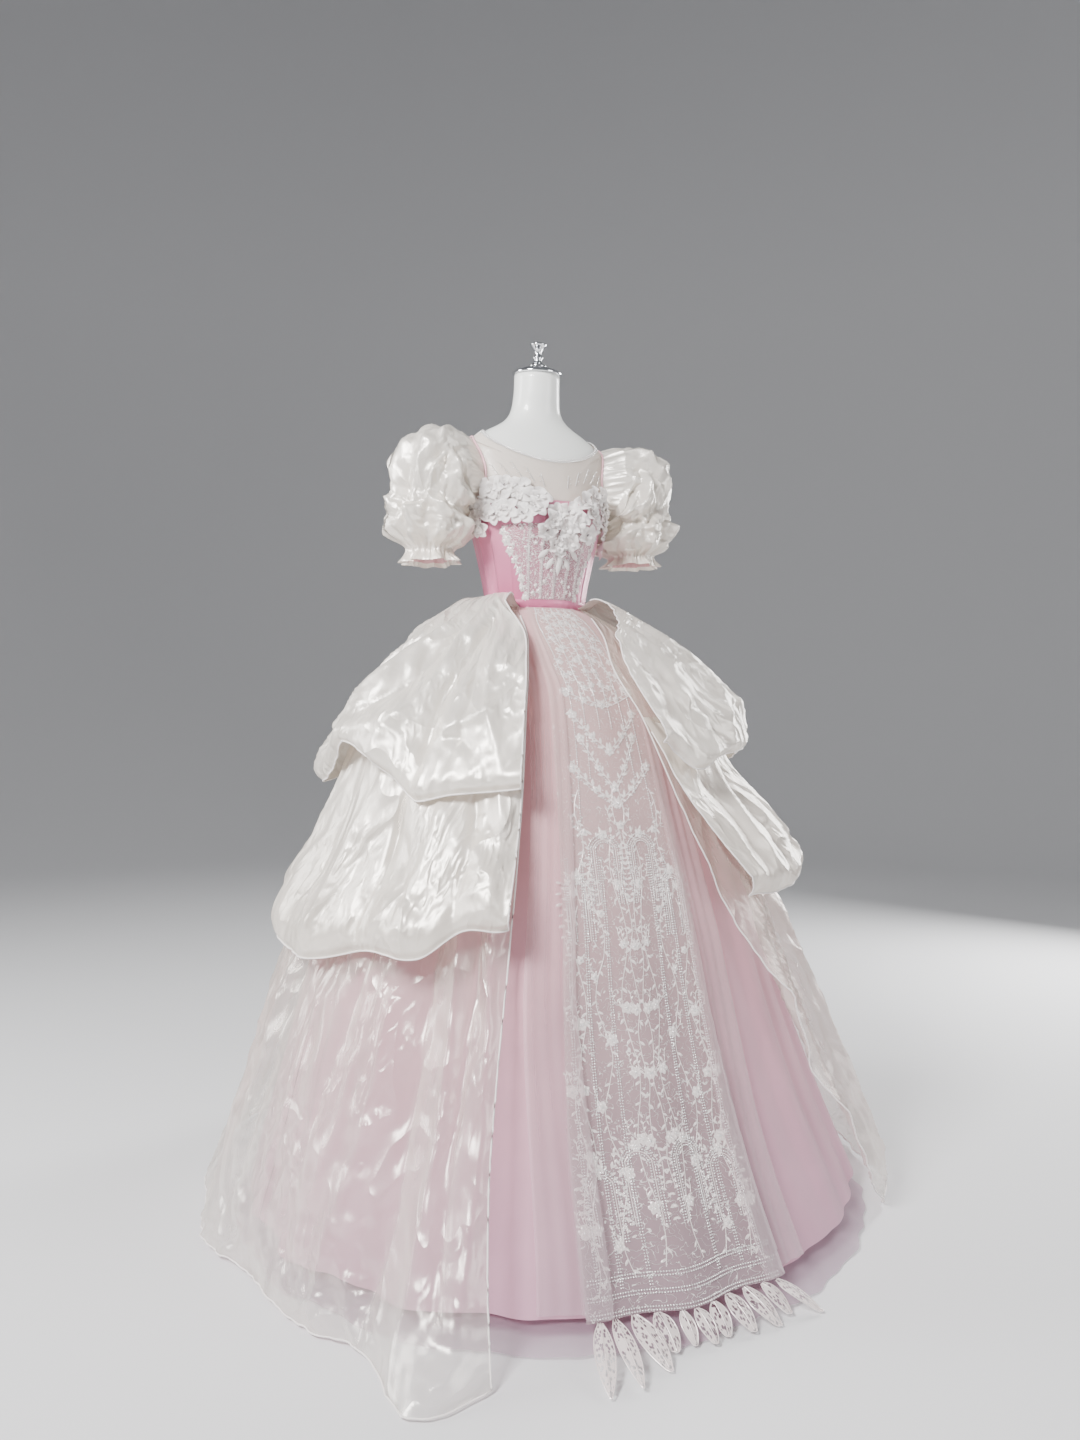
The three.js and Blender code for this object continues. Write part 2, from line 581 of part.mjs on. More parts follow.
// A left puff sleeve as rings of points, from the armhole to the frilled cuff, which is raised by lift.
function sleeveGrid(lift) {
  const first = armholeRing(SLEEVE_SEAM, SLEEVE_CLEAR + CLOTH, SLEEVE_COLUMNS);
  const rings = SLEEVE.map(({ x, z, run, across, deep, fold, turn }, j) =>
    range(SLEEVE_COLUMNS, (i) => {
      const t = (360 * i) / SLEEVE_COLUMNS;
      const wave = Math.cos(rad(SLEEVE_FOLDS * t + turn)) + 0.5 * Math.sin(rad(3 * t + 2 * turn));
      const grow = 1 + (fold * wave) / across;
      const up = across * grow * Math.cos(rad(t));
      const y = -deep * grow * Math.sin(rad(t));
      const raised = z + lift * (j / (SLEEVE.length - 1)) ** 2;
      return new THREE.Vector3(x + up * Math.sin(rad(run)), y, raised + up * Math.cos(rad(run)));
    }),
  );
  return [first, ...rings];
}
function addSleeves() {
  const rings = (lift) => sleeveGrid(lift).map((ring) => [...ring].reverse());
  const { inner, outer, clear, out, columns } = PIPING;
  const piping = (distance) =>
    [outer, inner].map((wider) => [...armholeRing(wider, distance, columns)].reverse());
  for (const [name, grid, edge] of [
    ["left", rings(SLEEVE_LIFT), piping],
    ["right", mirrored(rings(0)), (distance) => mirrored(piping(distance))],
  ]) {
    add(`sleeve_${name}`, wall(orient(grid), true, CLOTH), "organza");
    add(`armhole_binding_${name}`, shell(orient(edge(out)), orient(edge(clear)), true), "pink");
  }
}

// Turns a closed tube's columns so that moved() pushes its points away from the tube's middle.
function orient(grid) {
  const middle = new THREE.Vector3();
  grid[0].forEach((p) => middle.addScaledVector(p, 1 / grid[0].length));
  const across = grid[0][1].clone().sub(grid[0][0]);
  const down = grid[1][0].clone().sub(grid[0][0]);
  const outward = grid[0][0].clone().sub(middle);
  return down.cross(across).dot(outward) > 0 ? grid : grid.map((row) => [...row].reverse());
}

// Flowers and beads sewn thickly across the bust: bumps on the outside of a plain-backed band.
function flowerEdges(bearing) {
  const [above, below] = [FLOWER_TOP, FLOWER_BOTTOM];
  const side = Math.abs(bearing);
  const drop = above.drop * THREE.MathUtils.smoothstep(side, above.dropFrom, above.dropTo);
  const point = below.point * bell(bearing, below.bearing, below.spread);
  return {
    top: above.z + above.swell * bell(side, above.bearing, above.spread) - drop,
    bottom: below.z - point - below.side * bell(side, below.sideAt, below.sideSpread),
  };
}
function addBustFlowers() {
  const { edge, columns, rows, clear, low, high } = FLOWERS;
  const grid = (raised) =>
    range(rows + 1, (j) =>
      range(columns + 1, (i) => {
        const bearing = lerp(-edge, edge, i / columns);
        const { top, bottom } = flowerEdges(bearing);
        const inside = j > 0 && j < rows && i > 0 && i < columns;
        const bump = (((i * 5 + j * 3) % 7) / 6) * (inside ? 1 : 0.2);
        const thick = raised ? low + high * bump : 0;
        return bodyPoint(bearing, lerp(top, bottom, j / rows), clear + thick);
      }),
    );
  add("bust_flowers", shell(grid(true), grid(false), false), "flower");
}

// Distance of a skirt layer from the axis at a bearing, on an ellipse with its own front, side and back.
function ellipse({ front, right, left, back }, bearing) {
  const [c, s] = [Math.cos(rad(bearing)), Math.sin(rad(bearing))];
  return 1 / Math.hypot(c / (c > 0 ? front : back), s / (s > 0 ? left : right));
}

// Uneven folds round a layer, from -1 to 1.
const folds = (bearing, count, shift) =>
  0.6 * Math.cos(rad(count * bearing + 25 * Math.sin(rad(3 * bearing)) + shift)) +
  0.4 * Math.cos(rad((count - 5) * bearing + 2.3 * shift));

const pleatsAt = (pleats, side) =>
  pleats.reduce((sum, { bearing, width, depth }) => sum + depth * bell(side, bearing, width), 0);

const skirtBearings = (from, to) => {
  const step = 360 / SKIRT_COLUMNS;
  return range(Math.round((to - from) / step) + 1, (i) => from + i * step);
};

// The bearing of the lace panel's edge at a row of the tulle skirt
function laceEdge(row) {
  return THREE.MathUtils.radToDeg(Math.asin(smooth(LACE, "z", row.z, "half") / ellipse(row, 20)));
}

// The tulle skirt is plain under the lace panel, so that the panel lies flat on it.
function tullePoint(row, bearing) {
  const side = Math.abs(THREE.MathUtils.euclideanModulo(bearing + 180, 360) - 180);
  const plain = THREE.MathUtils.smoothstep(side, laceEdge(row) + 3, laceEdge(row) + 14);
  return at(bearing, ellipse(row, bearing) + row.fold * plain * folds(bearing, 16, 40), row.z);
}
function tucked(bearings) {
  const inset = 0.1;
  return bearings.map((b, i) => b + (i === 0 ? inset : 0) - (i === bearings.length - 1 ? inset : 0));
}
function addTulleSkirt() {
  for (const { name, from, to } of [
    { name: "front", from: -90, to: 90 },
    { name: "back", from: 90, to: 270 },
  ]) {
    const bearings = tucked(skirtBearings(from, to));
    const tulle = TULLE.map((row) => bearings.map((b) => tullePoint(row, b)));
    add(`tulle_${name}`, wall(tulle, false, CLOTH), "tulle");
    const seam = TULLE.findIndex((row) => row.z === LINING[0].z);
    const lining = LINING.map((row) =>
      bearings.map((b) => at(b, ellipse(row, b) + row.fold * folds(b, 16, 40), row.z)),
    );
    lining[0] = moved(tulle, false, -SEAM_GAP - CLOTH)[seam];
    add(`lining_${name}`, wall(lining, false, CLOTH), "lining");
  }
}

// The lace panel is made from the tulle's own rows, moved out.
function addLacePanel() {
  const grid = TULLE.map((row, j) => {
    const fall = (WAIST_Z - row.z) / WAIST_Z;
    return range(LACE_COLUMNS + 1, (i) => {
      const across = lerp(-1, 1, i / LACE_COLUMNS);
      const bearing = laceEdge(row) * across;
      const wave = LACE_WAVE_HEIGHT * fall * fall * (1 + Math.cos(Math.PI * LACE_WAVES * across));
      const clear = j === 0 ? LACE_TOP.clear : LACE_CLEAR;
      return at(bearing, ellipse(row, bearing) + clear + wave, row.z + (j === 0 ? LACE_TOP.rise : 0));
    });
  });
  add("lace_panel", wall(grid, false, CLOTH), "lace");
  const hem = grid[grid.length - 1];
  const edge = laceEdge(TULLE[TULLE.length - 1]);
  LEAVES.forEach((leaf, n) => {
    const place = LACE_COLUMNS * (0.5 + leaf.bearing / (2 * edge));
    const i = THREE.MathUtils.clamp(Math.floor(place), 0, LACE_COLUMNS - 1);
    const start = hem[i].clone().lerp(hem[i + 1], place - i);
    const tangent = hem[i + 1].clone().sub(hem[i]).normalize();
    addLeaf(`lace_leaf_${n + 1}`, leaf, { start, tangent }, n % 2);
  });
}
// A leaf hangs from a point of the panel's hem: its first row lies along the hem, and the rest fans
// outwards.
function addLeaf(name, { bearing, long, half, out, turn }, { start, tangent }, raised) {
  const along = at(bearing + turn, out, -Math.sqrt(1 - out * out));
  const across = new THREE.Vector3(Math.cos(rad(bearing + turn)), Math.sin(rad(bearing + turn)), 0);
  const up = along.clone().cross(across).negate();
  if (up.z < 0) up.negate();
  const ahead = new THREE.Vector3(tangent.y, -tangent.x, 0).normalize();
  const grid = LEAF_SHAPE.map((row) =>
    [-1, 0, 1].map((side) => {
      const point = start.clone();
      if (row.along === 0) {
        return point.addScaledVector(ahead, LEAF.gap).addScaledVector(tangent, side * half * row.half);
      }
      const arch = LEAF.arch * row.along * (1 - row.along) - LEAF.cup * Math.abs(side) * row.half;
      point.addScaledVector(along, long * row.along).addScaledVector(across, side * half * row.half);
      point.addScaledVector(up, arch + raised * LEAF.second - LEAF.sag);
      point.z = Math.max(point.z - LEAF.droop * row.along, LEAF.floor + raised * LEAF.secondFloor);
      return point;
    }),
  );
  add(name, wall(grid, false, LEAF.thick), "lace");
}

// The overskirt's layers on one side, named right or left for the wearer. Bearings there count up from the
// front.
const sideSign = { right: -1, left: 1 };

// The bearing of a column of the overskirt at a height: columns fan out from the front edge to the back
// seam.
function fanned(side, i, z, ahead = 0) {
  const edge = smooth(FRONT_EDGE, "z", z, side) - ahead;
  return lerp(edge, 179.9, i / OVERSKIRT_COLUMNS);
}

// The long sheer layer of the overskirt, open at the front.
function longPoint(row, side, i) {
  const bearing = fanned(side, i, row.z);
  const hem = smooth(LONG_HEM, "bearing", bearing, side);
  const grown = row.fold / LONG_LAYER[LONG_LAYER.length - 1].fold;
  const plain = lerp(ellipse(row, sideSign[side] * bearing), hem, row.flare);
  const wave = row.fold * folds(bearing, 15, 70) - grown * pleatsAt(LONG_PLEATS, bearing);
  return at(sideSign[side] * bearing, plain + wave, row.z);
}

// A short tier: from its top edge, which lies on the layer beneath, to a hem whose height changes round it.
function tierPoint(row, side, i, { top, hems, pleats, shift, ahead }) {
  const guess = fanned(side, i, top - row.drop * (top - hems[0][side]), ahead[side]);
  const z = top - row.drop * (top - smooth(hems, "bearing", guess, side));
  const bearing = fanned(side, i, z, ahead[side]);
  const grown = Math.max(0, row.drop) ** PLEAT_GROWTH;
  const wave = row.fold * folds(bearing, 13, shift) - grown * pleatsAt(pleats, bearing);
  return at(sideSign[side] * bearing, ellipse(row, sideSign[side] * bearing) + wave, z);
}

function addOverskirt() {
  for (const side of ["right", "left"]) {
    const layer = (rows, point) => {
      const grid = rows.map((row) => range(OVERSKIRT_COLUMNS + 1, (i) => point(row, i)));
      return side === "right" ? grid.map((row) => row.reverse()) : grid;
    };
    const long = layer(LONG_LAYER, (row, i) => longPoint(row, side, i));
    const upper = layer(UPPER_TIER, (row, i) => tierPoint(row, side, i, UPPER_CUT));
    const lower = layer(LOWER_TIER, (row, i) => tierPoint(row, side, i, LOWER_CUT));
    lower[0] = moved(long, false, SEAM_GAP + CLOTH)[LOWER_SEAM_ROW];
    add(`overskirt_long_${side}`, wall(long, false, CLOTH), "organza");
    add(`overskirt_lower_${side}`, wall(lower, false, CLOTH), "organza");
    add(`overskirt_upper_${side}`, wall(upper, false, CLOTH), "organza");
  }
}

add("dress_form", formGeometry(), "form");
addStand();
addNeckCap();
addCorset();
addYoke();
addNeckBand();
addZip();
addSleeves();
addBustFlowers();
addTulleSkirt();
addLacePanel();
addOverskirt();

export default root;
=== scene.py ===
# %% [markdown]
# A ball gown of ivory organza over pale pink tulle, on a white limbless dress form. It has a pink boned
# bodice under beaded lace, a sheer yoke, cloth flowers across the bust, two twisted puff sleeves, a tulle
# skirt with an embroidered lace panel and separate lace leaves at its hem, and an overskirt of two puffed
# tiers over a long sheer layer with a train. The scene is in metres, its tables are in millimetres, and the
# gown's front faces -Y. A bearing is an angle in degrees about Z from the front, growing towards the
# wearer's left, which is +X.

# %% Load the frame
import math

import bpy
import numpy as np
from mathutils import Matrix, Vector


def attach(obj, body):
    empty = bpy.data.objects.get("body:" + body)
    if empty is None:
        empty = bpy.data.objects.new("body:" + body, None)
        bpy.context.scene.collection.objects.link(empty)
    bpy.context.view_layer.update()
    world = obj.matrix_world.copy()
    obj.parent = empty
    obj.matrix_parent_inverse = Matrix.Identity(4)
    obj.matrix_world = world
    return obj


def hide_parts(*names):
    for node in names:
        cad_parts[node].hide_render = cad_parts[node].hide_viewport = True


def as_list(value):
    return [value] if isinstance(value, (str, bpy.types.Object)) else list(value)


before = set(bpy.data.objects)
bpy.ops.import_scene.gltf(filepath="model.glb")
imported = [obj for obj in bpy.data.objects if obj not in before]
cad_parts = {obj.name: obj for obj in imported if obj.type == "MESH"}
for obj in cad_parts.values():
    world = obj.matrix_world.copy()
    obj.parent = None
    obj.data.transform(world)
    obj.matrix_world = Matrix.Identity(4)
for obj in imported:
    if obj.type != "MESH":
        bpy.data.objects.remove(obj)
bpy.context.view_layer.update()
DETAIL = 1.0
RNG = np.random.default_rng(33)
print("frame with", len(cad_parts), "nodes")

# %% [markdown]
# The cut of the gown as short tables, one column for each size. They are the sizes of the frame's own
# solids, in millimetres, so each layer of cloth hangs where its solid is. right and left are the wearer's.

# %% Sizes of the gown
MM = 0.001
BODY = {
    "z": [880, 940, 1010, 1090, 1172, 1220, 1265, 1345, 1400, 1450, 1485, 1510, 1533, 1556, 1578, 1612, 1655],
    "half": [128, 148, 150, 134, 106, 109, 118, 136, 142, 147, 149, 142, 112, 72, 53, 47, 46],
    "front": [94, 100, 98, 90, 78, 83, 92, 104, 98, 86, 76, 66, 56, 50, 47, 46, 46],
    "back": [104, 116, 116, 98, 74, 75, 82, 94, 98, 98, 93, 84, 72, 60, 54, 49, 47],
    "y": [0, 0, 0, 0, 0, 0, 0, 0, 0, 0, 0, 0, 0, 1, -1, -7, -10],
}
BUST = {"bearing": 25, "z": 1342, "spread": 17, "rise": 42, "out": 20}
WAIST_Z = 1176.4
CORSET_TOP_Z = 1385
NECKLINE = {"front": 1464, "back": 1498, "shoulder": 1527}
ARMHOLE = {"bearing": 90, "z": 1447, "half_bearing": 28, "half_height": 61}
TULLE = {
    "z": [1175.6, 1125, 1060, 960, 640, 450, 250, 42],
    "front": [80, 152, 222, 290, 384, 424, 482, 578],
    "right": [108, 182, 254, 320, 404, 452, 502, 558],
    "left": [108, 184, 264, 334, 432, 496, 574, 652],
    "back": [76, 164, 248, 334, 434, 492, 560, 640],
    "fold": [0, 2, 3, 3.5, 5, 8, 11, 13],
}
LINING = {
    "z": [262, 150, 52, 3],
    "front": [460, 500, 544, 618],
    "right": [478, 500, 528, 584],
    "left": [546, 580, 618, 668],
    "back": [534, 568, 606, 672],
    "fold": [3, 4, 5, 6],
}
LONG_LAYER = {
    "z": [1177.2, 1125, 1060, 960, 820, 640, 450, 250, 90, 4],
    "front": [81.3, 164, 236, 306, 358, 410, 464, 530, 608, 640],
    "right": [109.3, 195, 269, 338, 382, 434, 506, 560, 594, 620],
    "left": [109.3, 198, 280, 352, 400, 484, 580, 656, 708, 728],
    "back": [77.3, 178, 263, 352, 408, 468, 560, 606, 680, 720],
    "fold": [0, 2, 3, 4, 5, 7, 8, 9, 9, 9],
    "flare": [0, 0, 0, 0, 0, 0, 0, 0.14, 0.45, 1],
}
LONG_HEM = {
    "bearing": [30, 37, 46, 58, 68, 80, 96, 120, 145, 180],
    "right": [700, 762, 682, 640, 626, 630, 646, 680, 770, 850],
    "left": [700, 700, 690, 690, 722, 742, 750, 762, 800, 850],
}
FRONT_EDGE = {
    "z": [0, 90, 250, 450, 640, 820, 960, 1060, 1125, 1185],
    "right": [30, 31, 32, 31.5, 30, 28.5, 28, 28, 31, 46],
    "left": [58, 50, 44, 38, 28, 19, 14, 12, 24, 50],
}
UPPER_TIER = {
    "drop": [0, -0.065, 0.1, 0.27, 0.48, 0.7, 0.9, 1],
    "front": [82.3, 118, 190, 256, 318, 364, 399, 398],
    "right": [110.3, 148, 218, 278, 340, 394, 434, 430],
    "left": [110.3, 152, 232, 304, 384, 436, 444, 440],
    "back": [78.3, 128, 208, 276, 350, 408, 450, 450],
    "fold": [0, 3, 5, 6, 8, 10, 11, 12],
}
UPPER_HEM = {
    "bearing": [12, 20, 30, 45, 57, 66, 80, 90, 110, 130, 150, 180],
    "right": [850, 850, 838, 828, 816, 858, 918, 880, 832, 856, 846, 850],
    "left": [916, 868, 884, 898, 904, 900, 874, 860, 852, 856, 850, 850],
}
LOWER_TIER = {
    "drop": [0, 0.16, 0.38, 0.62, 0.86, 1],
    "front": [309, 344, 380, 430, 480, 478],
    "right": [341, 378, 408, 448, 512, 520],
    "left": [355, 386, 420, 504, 556, 550],
    "back": [355, 394, 430, 482, 548, 548],
    "fold": [4, 2, 4, 8, 12, 14],
}
LOWER_HEM = {
    "bearing": [20, 31, 39, 47, 60, 75, 95, 115, 145, 180],
    "right": [640, 613, 612, 566, 566, 538, 543, 560, 572, 548],
    "left": [634, 642, 637, 642, 646, 612, 582, 562, 574, 548],
}
UPPER_PLEATS = {"bearing": [61, 88, 122, 155], "width": [7, 7, 8, 8], "depth": [20, 17, 16, 16]}
LOWER_PLEATS = {"bearing": [40, 68, 103, 138], "width": [6, 7, 8, 9], "depth": [16, 22, 18, 20]}
LONG_PLEATS = {"bearing": [37, 49, 78, 150], "width": [5, 6, 8, 10], "depth": [-14, 16, 10, -14]}
LACE = {
    "z": [42, 250, 450, 640, 820, 960, 1060, 1125, 1175.6],
    "half": [176, 156, 138, 122, 108, 98, 86, 70, 50],
}
SLEEVE = {
    "x": [170, 198, 220, 227, 229, 228, 226, 226],
    "z": [1452, 1444, 1414, 1376, 1343, 1308, 1286, 1262],
    "run": [8, 28, 52, 70, 78, 84, 88, 90],
    "across": [74, 84, 80, 62, 75, 63, 43, 54],
    "deep": [78, 94, 98, 82, 90, 74, 50, 62],
    "fold": [3, 8, 9, 7, 9, 8, 3, 8],
    "turn": [0, 9, 20, 32, 42, 50, 54, 54],
}
SLEEVE_LIFT = {"left": 18, "right": 0}
LEAVES = {
    "bearing": [-15.4, -13, -9.8, -6.2, -2.4, -0.1, 3.3, 6.6, 10.2, 13.4, 16],
    "long": [132, 126, 104, 66, 52, 58, 54, 70, 78, 62, 84],
    "half": [15, 14, 19, 18, 12, 15, 16, 18, 19, 17, 15],
    "out": [0.97, 0.97, 0.94, 0.82, 0.72, 0.78, 0.74, 0.85, 0.88, 0.8, 0.9],
    "turn": [-6, 3, 14, 10, 6, 10, 2, 6, 12, 18, 26],
}
SIDE_SIGN = {"right": -1, "left": 1}
BACK_SEAM = 179.9

# %% [markdown]
# Curves, waves and creases that every cloth shares. Cloth never repeats itself, so each wave is bent by a
# second, slower one, and the creases come from seeded noise as well as from listed lines.

# %% Curves and waves
rad = np.radians


def hermite(x, xs, ys):
    """A smooth curve through the points, each slope taken from the two points beside it."""
    xs, ys = np.asarray(xs, float), np.asarray(ys, float)
    x = np.clip(x, xs[0], xs[-1])
    i = np.clip(np.searchsorted(xs, x, side="right") - 1, 0, len(xs) - 2)
    slope = np.gradient(ys) / np.gradient(xs)
    span = xs[i + 1] - xs[i]
    t = (x - xs[i]) / span
    return (
        (2 * t**3 - 3 * t**2 + 1) * ys[i]
        + (t**3 - 2 * t**2 + t) * span * slope[i]
        + (3 * t**2 - 2 * t**3) * ys[i + 1]
        + (t**3 - t**2) * span * slope[i + 1]
    )


def rows_at(table, k):
    """Every column of a table at row positions k, on a smooth curve through the rows."""
    numbers = np.arange(len(next(iter(table.values()))))
    return {name: hermite(k, numbers, column) for name, column in table.items()}


def step(x, low, high):
    """0 below low, 1 above high and a smooth rise between them."""
    t = np.clip((x - low) / (high - low), 0, 1)
    return t * t * (3 - 2 * t)


def bell(x, middle, width):
    """One at the middle, falling to nothing about two widths away."""
    return np.exp(-(((x - middle) / width) ** 2))


def at(bearing, reach, z):
    """Points at a bearing and reach from the axis, all in millimetres, as metres."""
    return np.stack([reach * np.sin(rad(bearing)), -reach * np.cos(rad(bearing)), z + 0 * reach], -1) * MM


def ellipse(r, bearing):
    """Reach of a layer from the axis, on an ellipse with its own front, sides and back."""
    c, s = np.cos(rad(bearing)), np.sin(rad(bearing))
    ahead = c / np.where(c > 0, r["front"], r["back"])
    aside = s / np.where(s > 0, r["left"], r["right"])
    return 1 / np.hypot(ahead, aside)


def folds(bearing, count, shift):
    """Uneven folds round a layer, from -1 to 1."""
    main = np.cos(rad(count * bearing + 25 * np.sin(rad(3 * bearing)) + shift))
    return 0.6 * main + 0.4 * np.cos(rad((count - 5) * bearing + 2.3 * shift))


def pleats(table, bearing):
    """The deep pleats' depth at a bearing."""
    return sum(d * bell(bearing, b, w) for b, w, d in zip(table["bearing"], table["width"], table["depth"]))


def noise(u, v, seed):
    """Smooth noise from -1 to 1 on a lattice of seeded heights."""
    heights = np.random.default_rng(seed).uniform(-1, 1, (61, 61))
    i, j = np.floor(u).astype(int), np.floor(v).astype(int)
    a, b = step(u - i, 0, 1), step(v - j, 0, 1)
    corner = lambda p, q: heights[(i + p) % 61, (j + q) % 61]
    low = corner(0, 0) * (1 - a) + corner(1, 0) * a
    high = corner(0, 1) * (1 - a) + corner(1, 1) * a
    return low * (1 - b) + high * b


def crumple(u, v, seed, octaves=3):
    """Crisp creases: one less twice the size of bent noise, each octave twice as fine and 0.55 as deep."""
    total = 0
    for n in range(octaves):
        fine = 2.0**n
        bend = 0.9 * noise(0.6 * fine * u, 0.6 * fine * v, seed + 20 + n)
        total = total + (1 - 2 * np.abs(noise(fine * u + bend, fine * v - bend, seed + n))) * 0.55**n
    return total


def creases(x, y, table, unit):
    """Ridges and troughs from (x0, y0) to (x1, y1), crisp across and tapered at both ends.

    Each ridge is its height times a taper along it, times e to the minus distance over width. unit is how
    many degrees of bearing are as long as one step of y. Width is in degrees, height in millimetres.
    """
    total = np.zeros(np.broadcast(x, y).shape)
    for x0, y0, x1, y1, width, height in table:
        dx, dy = x1 - x0, (y1 - y0) * unit
        length = math.hypot(dx, dy)
        t = ((x - x0) * dx + (y - y0) * unit * dy) / length**2
        off = ((x - x0) * dy - (y - y0) * unit * dx) / length
        bend = 0.35 * width * np.sin(9 * t + x0)
        taper = step(t, -0.08, 0.14) * (1 - step(t, 0.72, 1.1))
        total += height * taper * np.exp(-np.abs((off + bend) / width))
    return total


# %% [markdown]
# Meshes from grids of points. Rows run down the cloth and columns run towards the wearer's left, so the
# faces point out. The map holds true lengths along the cloth, so a weave keeps its size.

# %% Meshes
def make(name, points, faces, material, uv=None, smooth=True):
    """A mesh object from arrays, riding on the root body."""
    mesh = bpy.data.meshes.new(name)
    points = np.asarray(points, np.float32).reshape(-1, 3)
    faces = np.asarray(faces, np.int32)
    corners = faces.shape[1]
    mesh.vertices.add(len(points))
    mesh.vertices.foreach_set("co", points.ravel())
    mesh.loops.add(faces.size)
    mesh.loops.foreach_set("vertex_index", faces.ravel())
    mesh.polygons.add(len(faces))
    mesh.polygons.foreach_set("loop_start", np.arange(0, faces.size, corners, dtype=np.int32))
    mesh.polygons.foreach_set("loop_total", np.full(len(faces), corners, np.int32))
    mesh.polygons.foreach_set("use_smooth", np.full(len(faces), smooth))
    if uv is not None:
        layer = mesh.uv_layers.new(name="cloth")
        layer.data.foreach_set("uv", np.asarray(uv, np.float32).reshape(-1, 2)[faces.ravel()].ravel())
    mesh.update()
    mesh.validate()
    piece = bpy.data.objects.new(name, mesh)
    bpy.context.scene.collection.objects.link(piece)
    mesh.materials.append(material)
    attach(piece, "root")
    return piece


def grid_faces(rows, columns, closed=False):
    """Four-cornered faces between neighbouring rows and columns."""
    last = columns if closed else columns - 1
    j, i = np.meshgrid(np.arange(rows - 1), np.arange(last), indexing="ij")
    k = (i + 1) % columns
    upper, lower = j * columns, (j + 1) * columns
    return np.stack([upper + i, lower + i, lower + k, upper + k], -1).reshape(-1, 4)


def grid_uv(P):
    """True lengths across and down a grid, in metres."""
    across = np.linalg.norm(np.diff(P, axis=1), axis=-1).mean(0)
    down = np.linalg.norm(np.diff(P, axis=0), axis=-1).mean(1)
    u = np.concatenate([[0], np.cumsum(across)])
    v = np.concatenate([[0], np.cumsum(down)])
    return np.stack(np.broadcast_arrays(u[None, :], v[:, None]), -1)


def sheet_of(name, P, material, closed=False, backwards=False):
    """One layer of cloth from a grid of points."""
    if backwards:
        P = P[:, ::-1]
    faces = grid_faces(P.shape[0], P.shape[1], closed)
    return make(name, P, faces, material, grid_uv(P))


def area_of(piece):
    """The piece's area in square metres."""
    areas = np.zeros(len(piece.data.polygons), np.float32)
    piece.data.polygons.foreach_get("area", areas)
    return float(areas.sum())


def cut(piece, slot, flat, held, rests_on, area=None):
    """Prints how the piece's area compares with the area of its flat cut."""
    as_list(rests_on)
    print(piece.name, "cloth over cut", round(area_of(piece) / (area or flat[0] * flat[1]), 2))


def count(n):
    """A count of rows or columns, fewer while trying things."""
    return max(4, int(round(n * DETAIL)))


def tube_grid(path, radius, sides=6):
    """Rings of points round a path; a path's end repeats its start where it closes."""
    ahead = np.gradient(path, axis=0)
    ahead /= np.maximum(np.linalg.norm(ahead, axis=-1, keepdims=True), 1e-12)
    up = np.where(np.abs(ahead[:, 2:]) > 0.9, [[1.0, 0, 0]], [[0, 0, 1.0]])
    side = np.cross(ahead, up)
    side /= np.linalg.norm(side, axis=-1, keepdims=True)
    lift = np.cross(side, ahead)
    t = np.linspace(0, 2 * np.pi, sides, endpoint=False)[None, :, None]
    radius = np.broadcast_to(radius, len(path))[:, None, None]
    return path[:, None] + radius * (np.cos(t) * side[:, None] + np.sin(t) * lift[:, None])


def join(parts):
    """Joins (points, faces) pairs into one pair of arrays."""
    parts = [(p.reshape(-1, 3), f) for p, f in parts]
    starts = np.cumsum([0] + [len(p) for p, _ in parts[:-1]])
    return np.concatenate([p for p, _ in parts]), np.concatenate([f + s for (_, f), s in zip(parts, starts)])


def tubes(name, paths, radius, material, sides=6):
    """One piece of several cords or rolled hems."""
    parts = []
    for path in paths:
        rings = tube_grid(np.asarray(path), radius, sides)
        parts.append((rings, grid_faces(rings.shape[0], sides, True)))
    return make(name, *join(parts), material)


def turned(profile, sides, centre, lean):
    """A smooth turned shape from radius and height pairs, leaning forward by an angle."""
    r, z = np.asarray(profile, float).T
    t = np.linspace(0, 2 * np.pi, sides, endpoint=False)
    P = np.stack([r[::-1, None] * np.sin(t), -r[::-1, None] * np.cos(t), z[::-1, None] + 0 * t], -1)
    c, s = math.cos(lean), math.sin(lean)
    P = np.stack([P[..., 0], c * P[..., 1] - s * P[..., 2], s * P[..., 1] + c * P[..., 2]], -1)
    return (P + centre) * MM


# %% [markdown]
# Materials. Each cloth is a thin weave that lets some light through and shows what lies behind it: tulle
# and net most where they are seen face on, and organza with a bright, wet-looking shine that breaks on its
# creases.

# %% Materials
def node(tree, kind, inputs=(), **settings):
    """A shader node with its settings, and its inputs set or linked by name or number."""
    made = tree.nodes.new("ShaderNode" + kind)
    for key, value in settings.items():
        setattr(made, key, value)
    for key, value in dict(inputs).items():
        if isinstance(value, bpy.types.NodeSocket):
            tree.links.new(value, made.inputs[key])
        else:
            made.inputs[key].default_value = value
    return made


def sums(tree, operation, a, b):
    """One sum on two numbers or sockets."""
    return node(tree, "Math", {0: a, 1: b}, operation=operation).outputs[0]


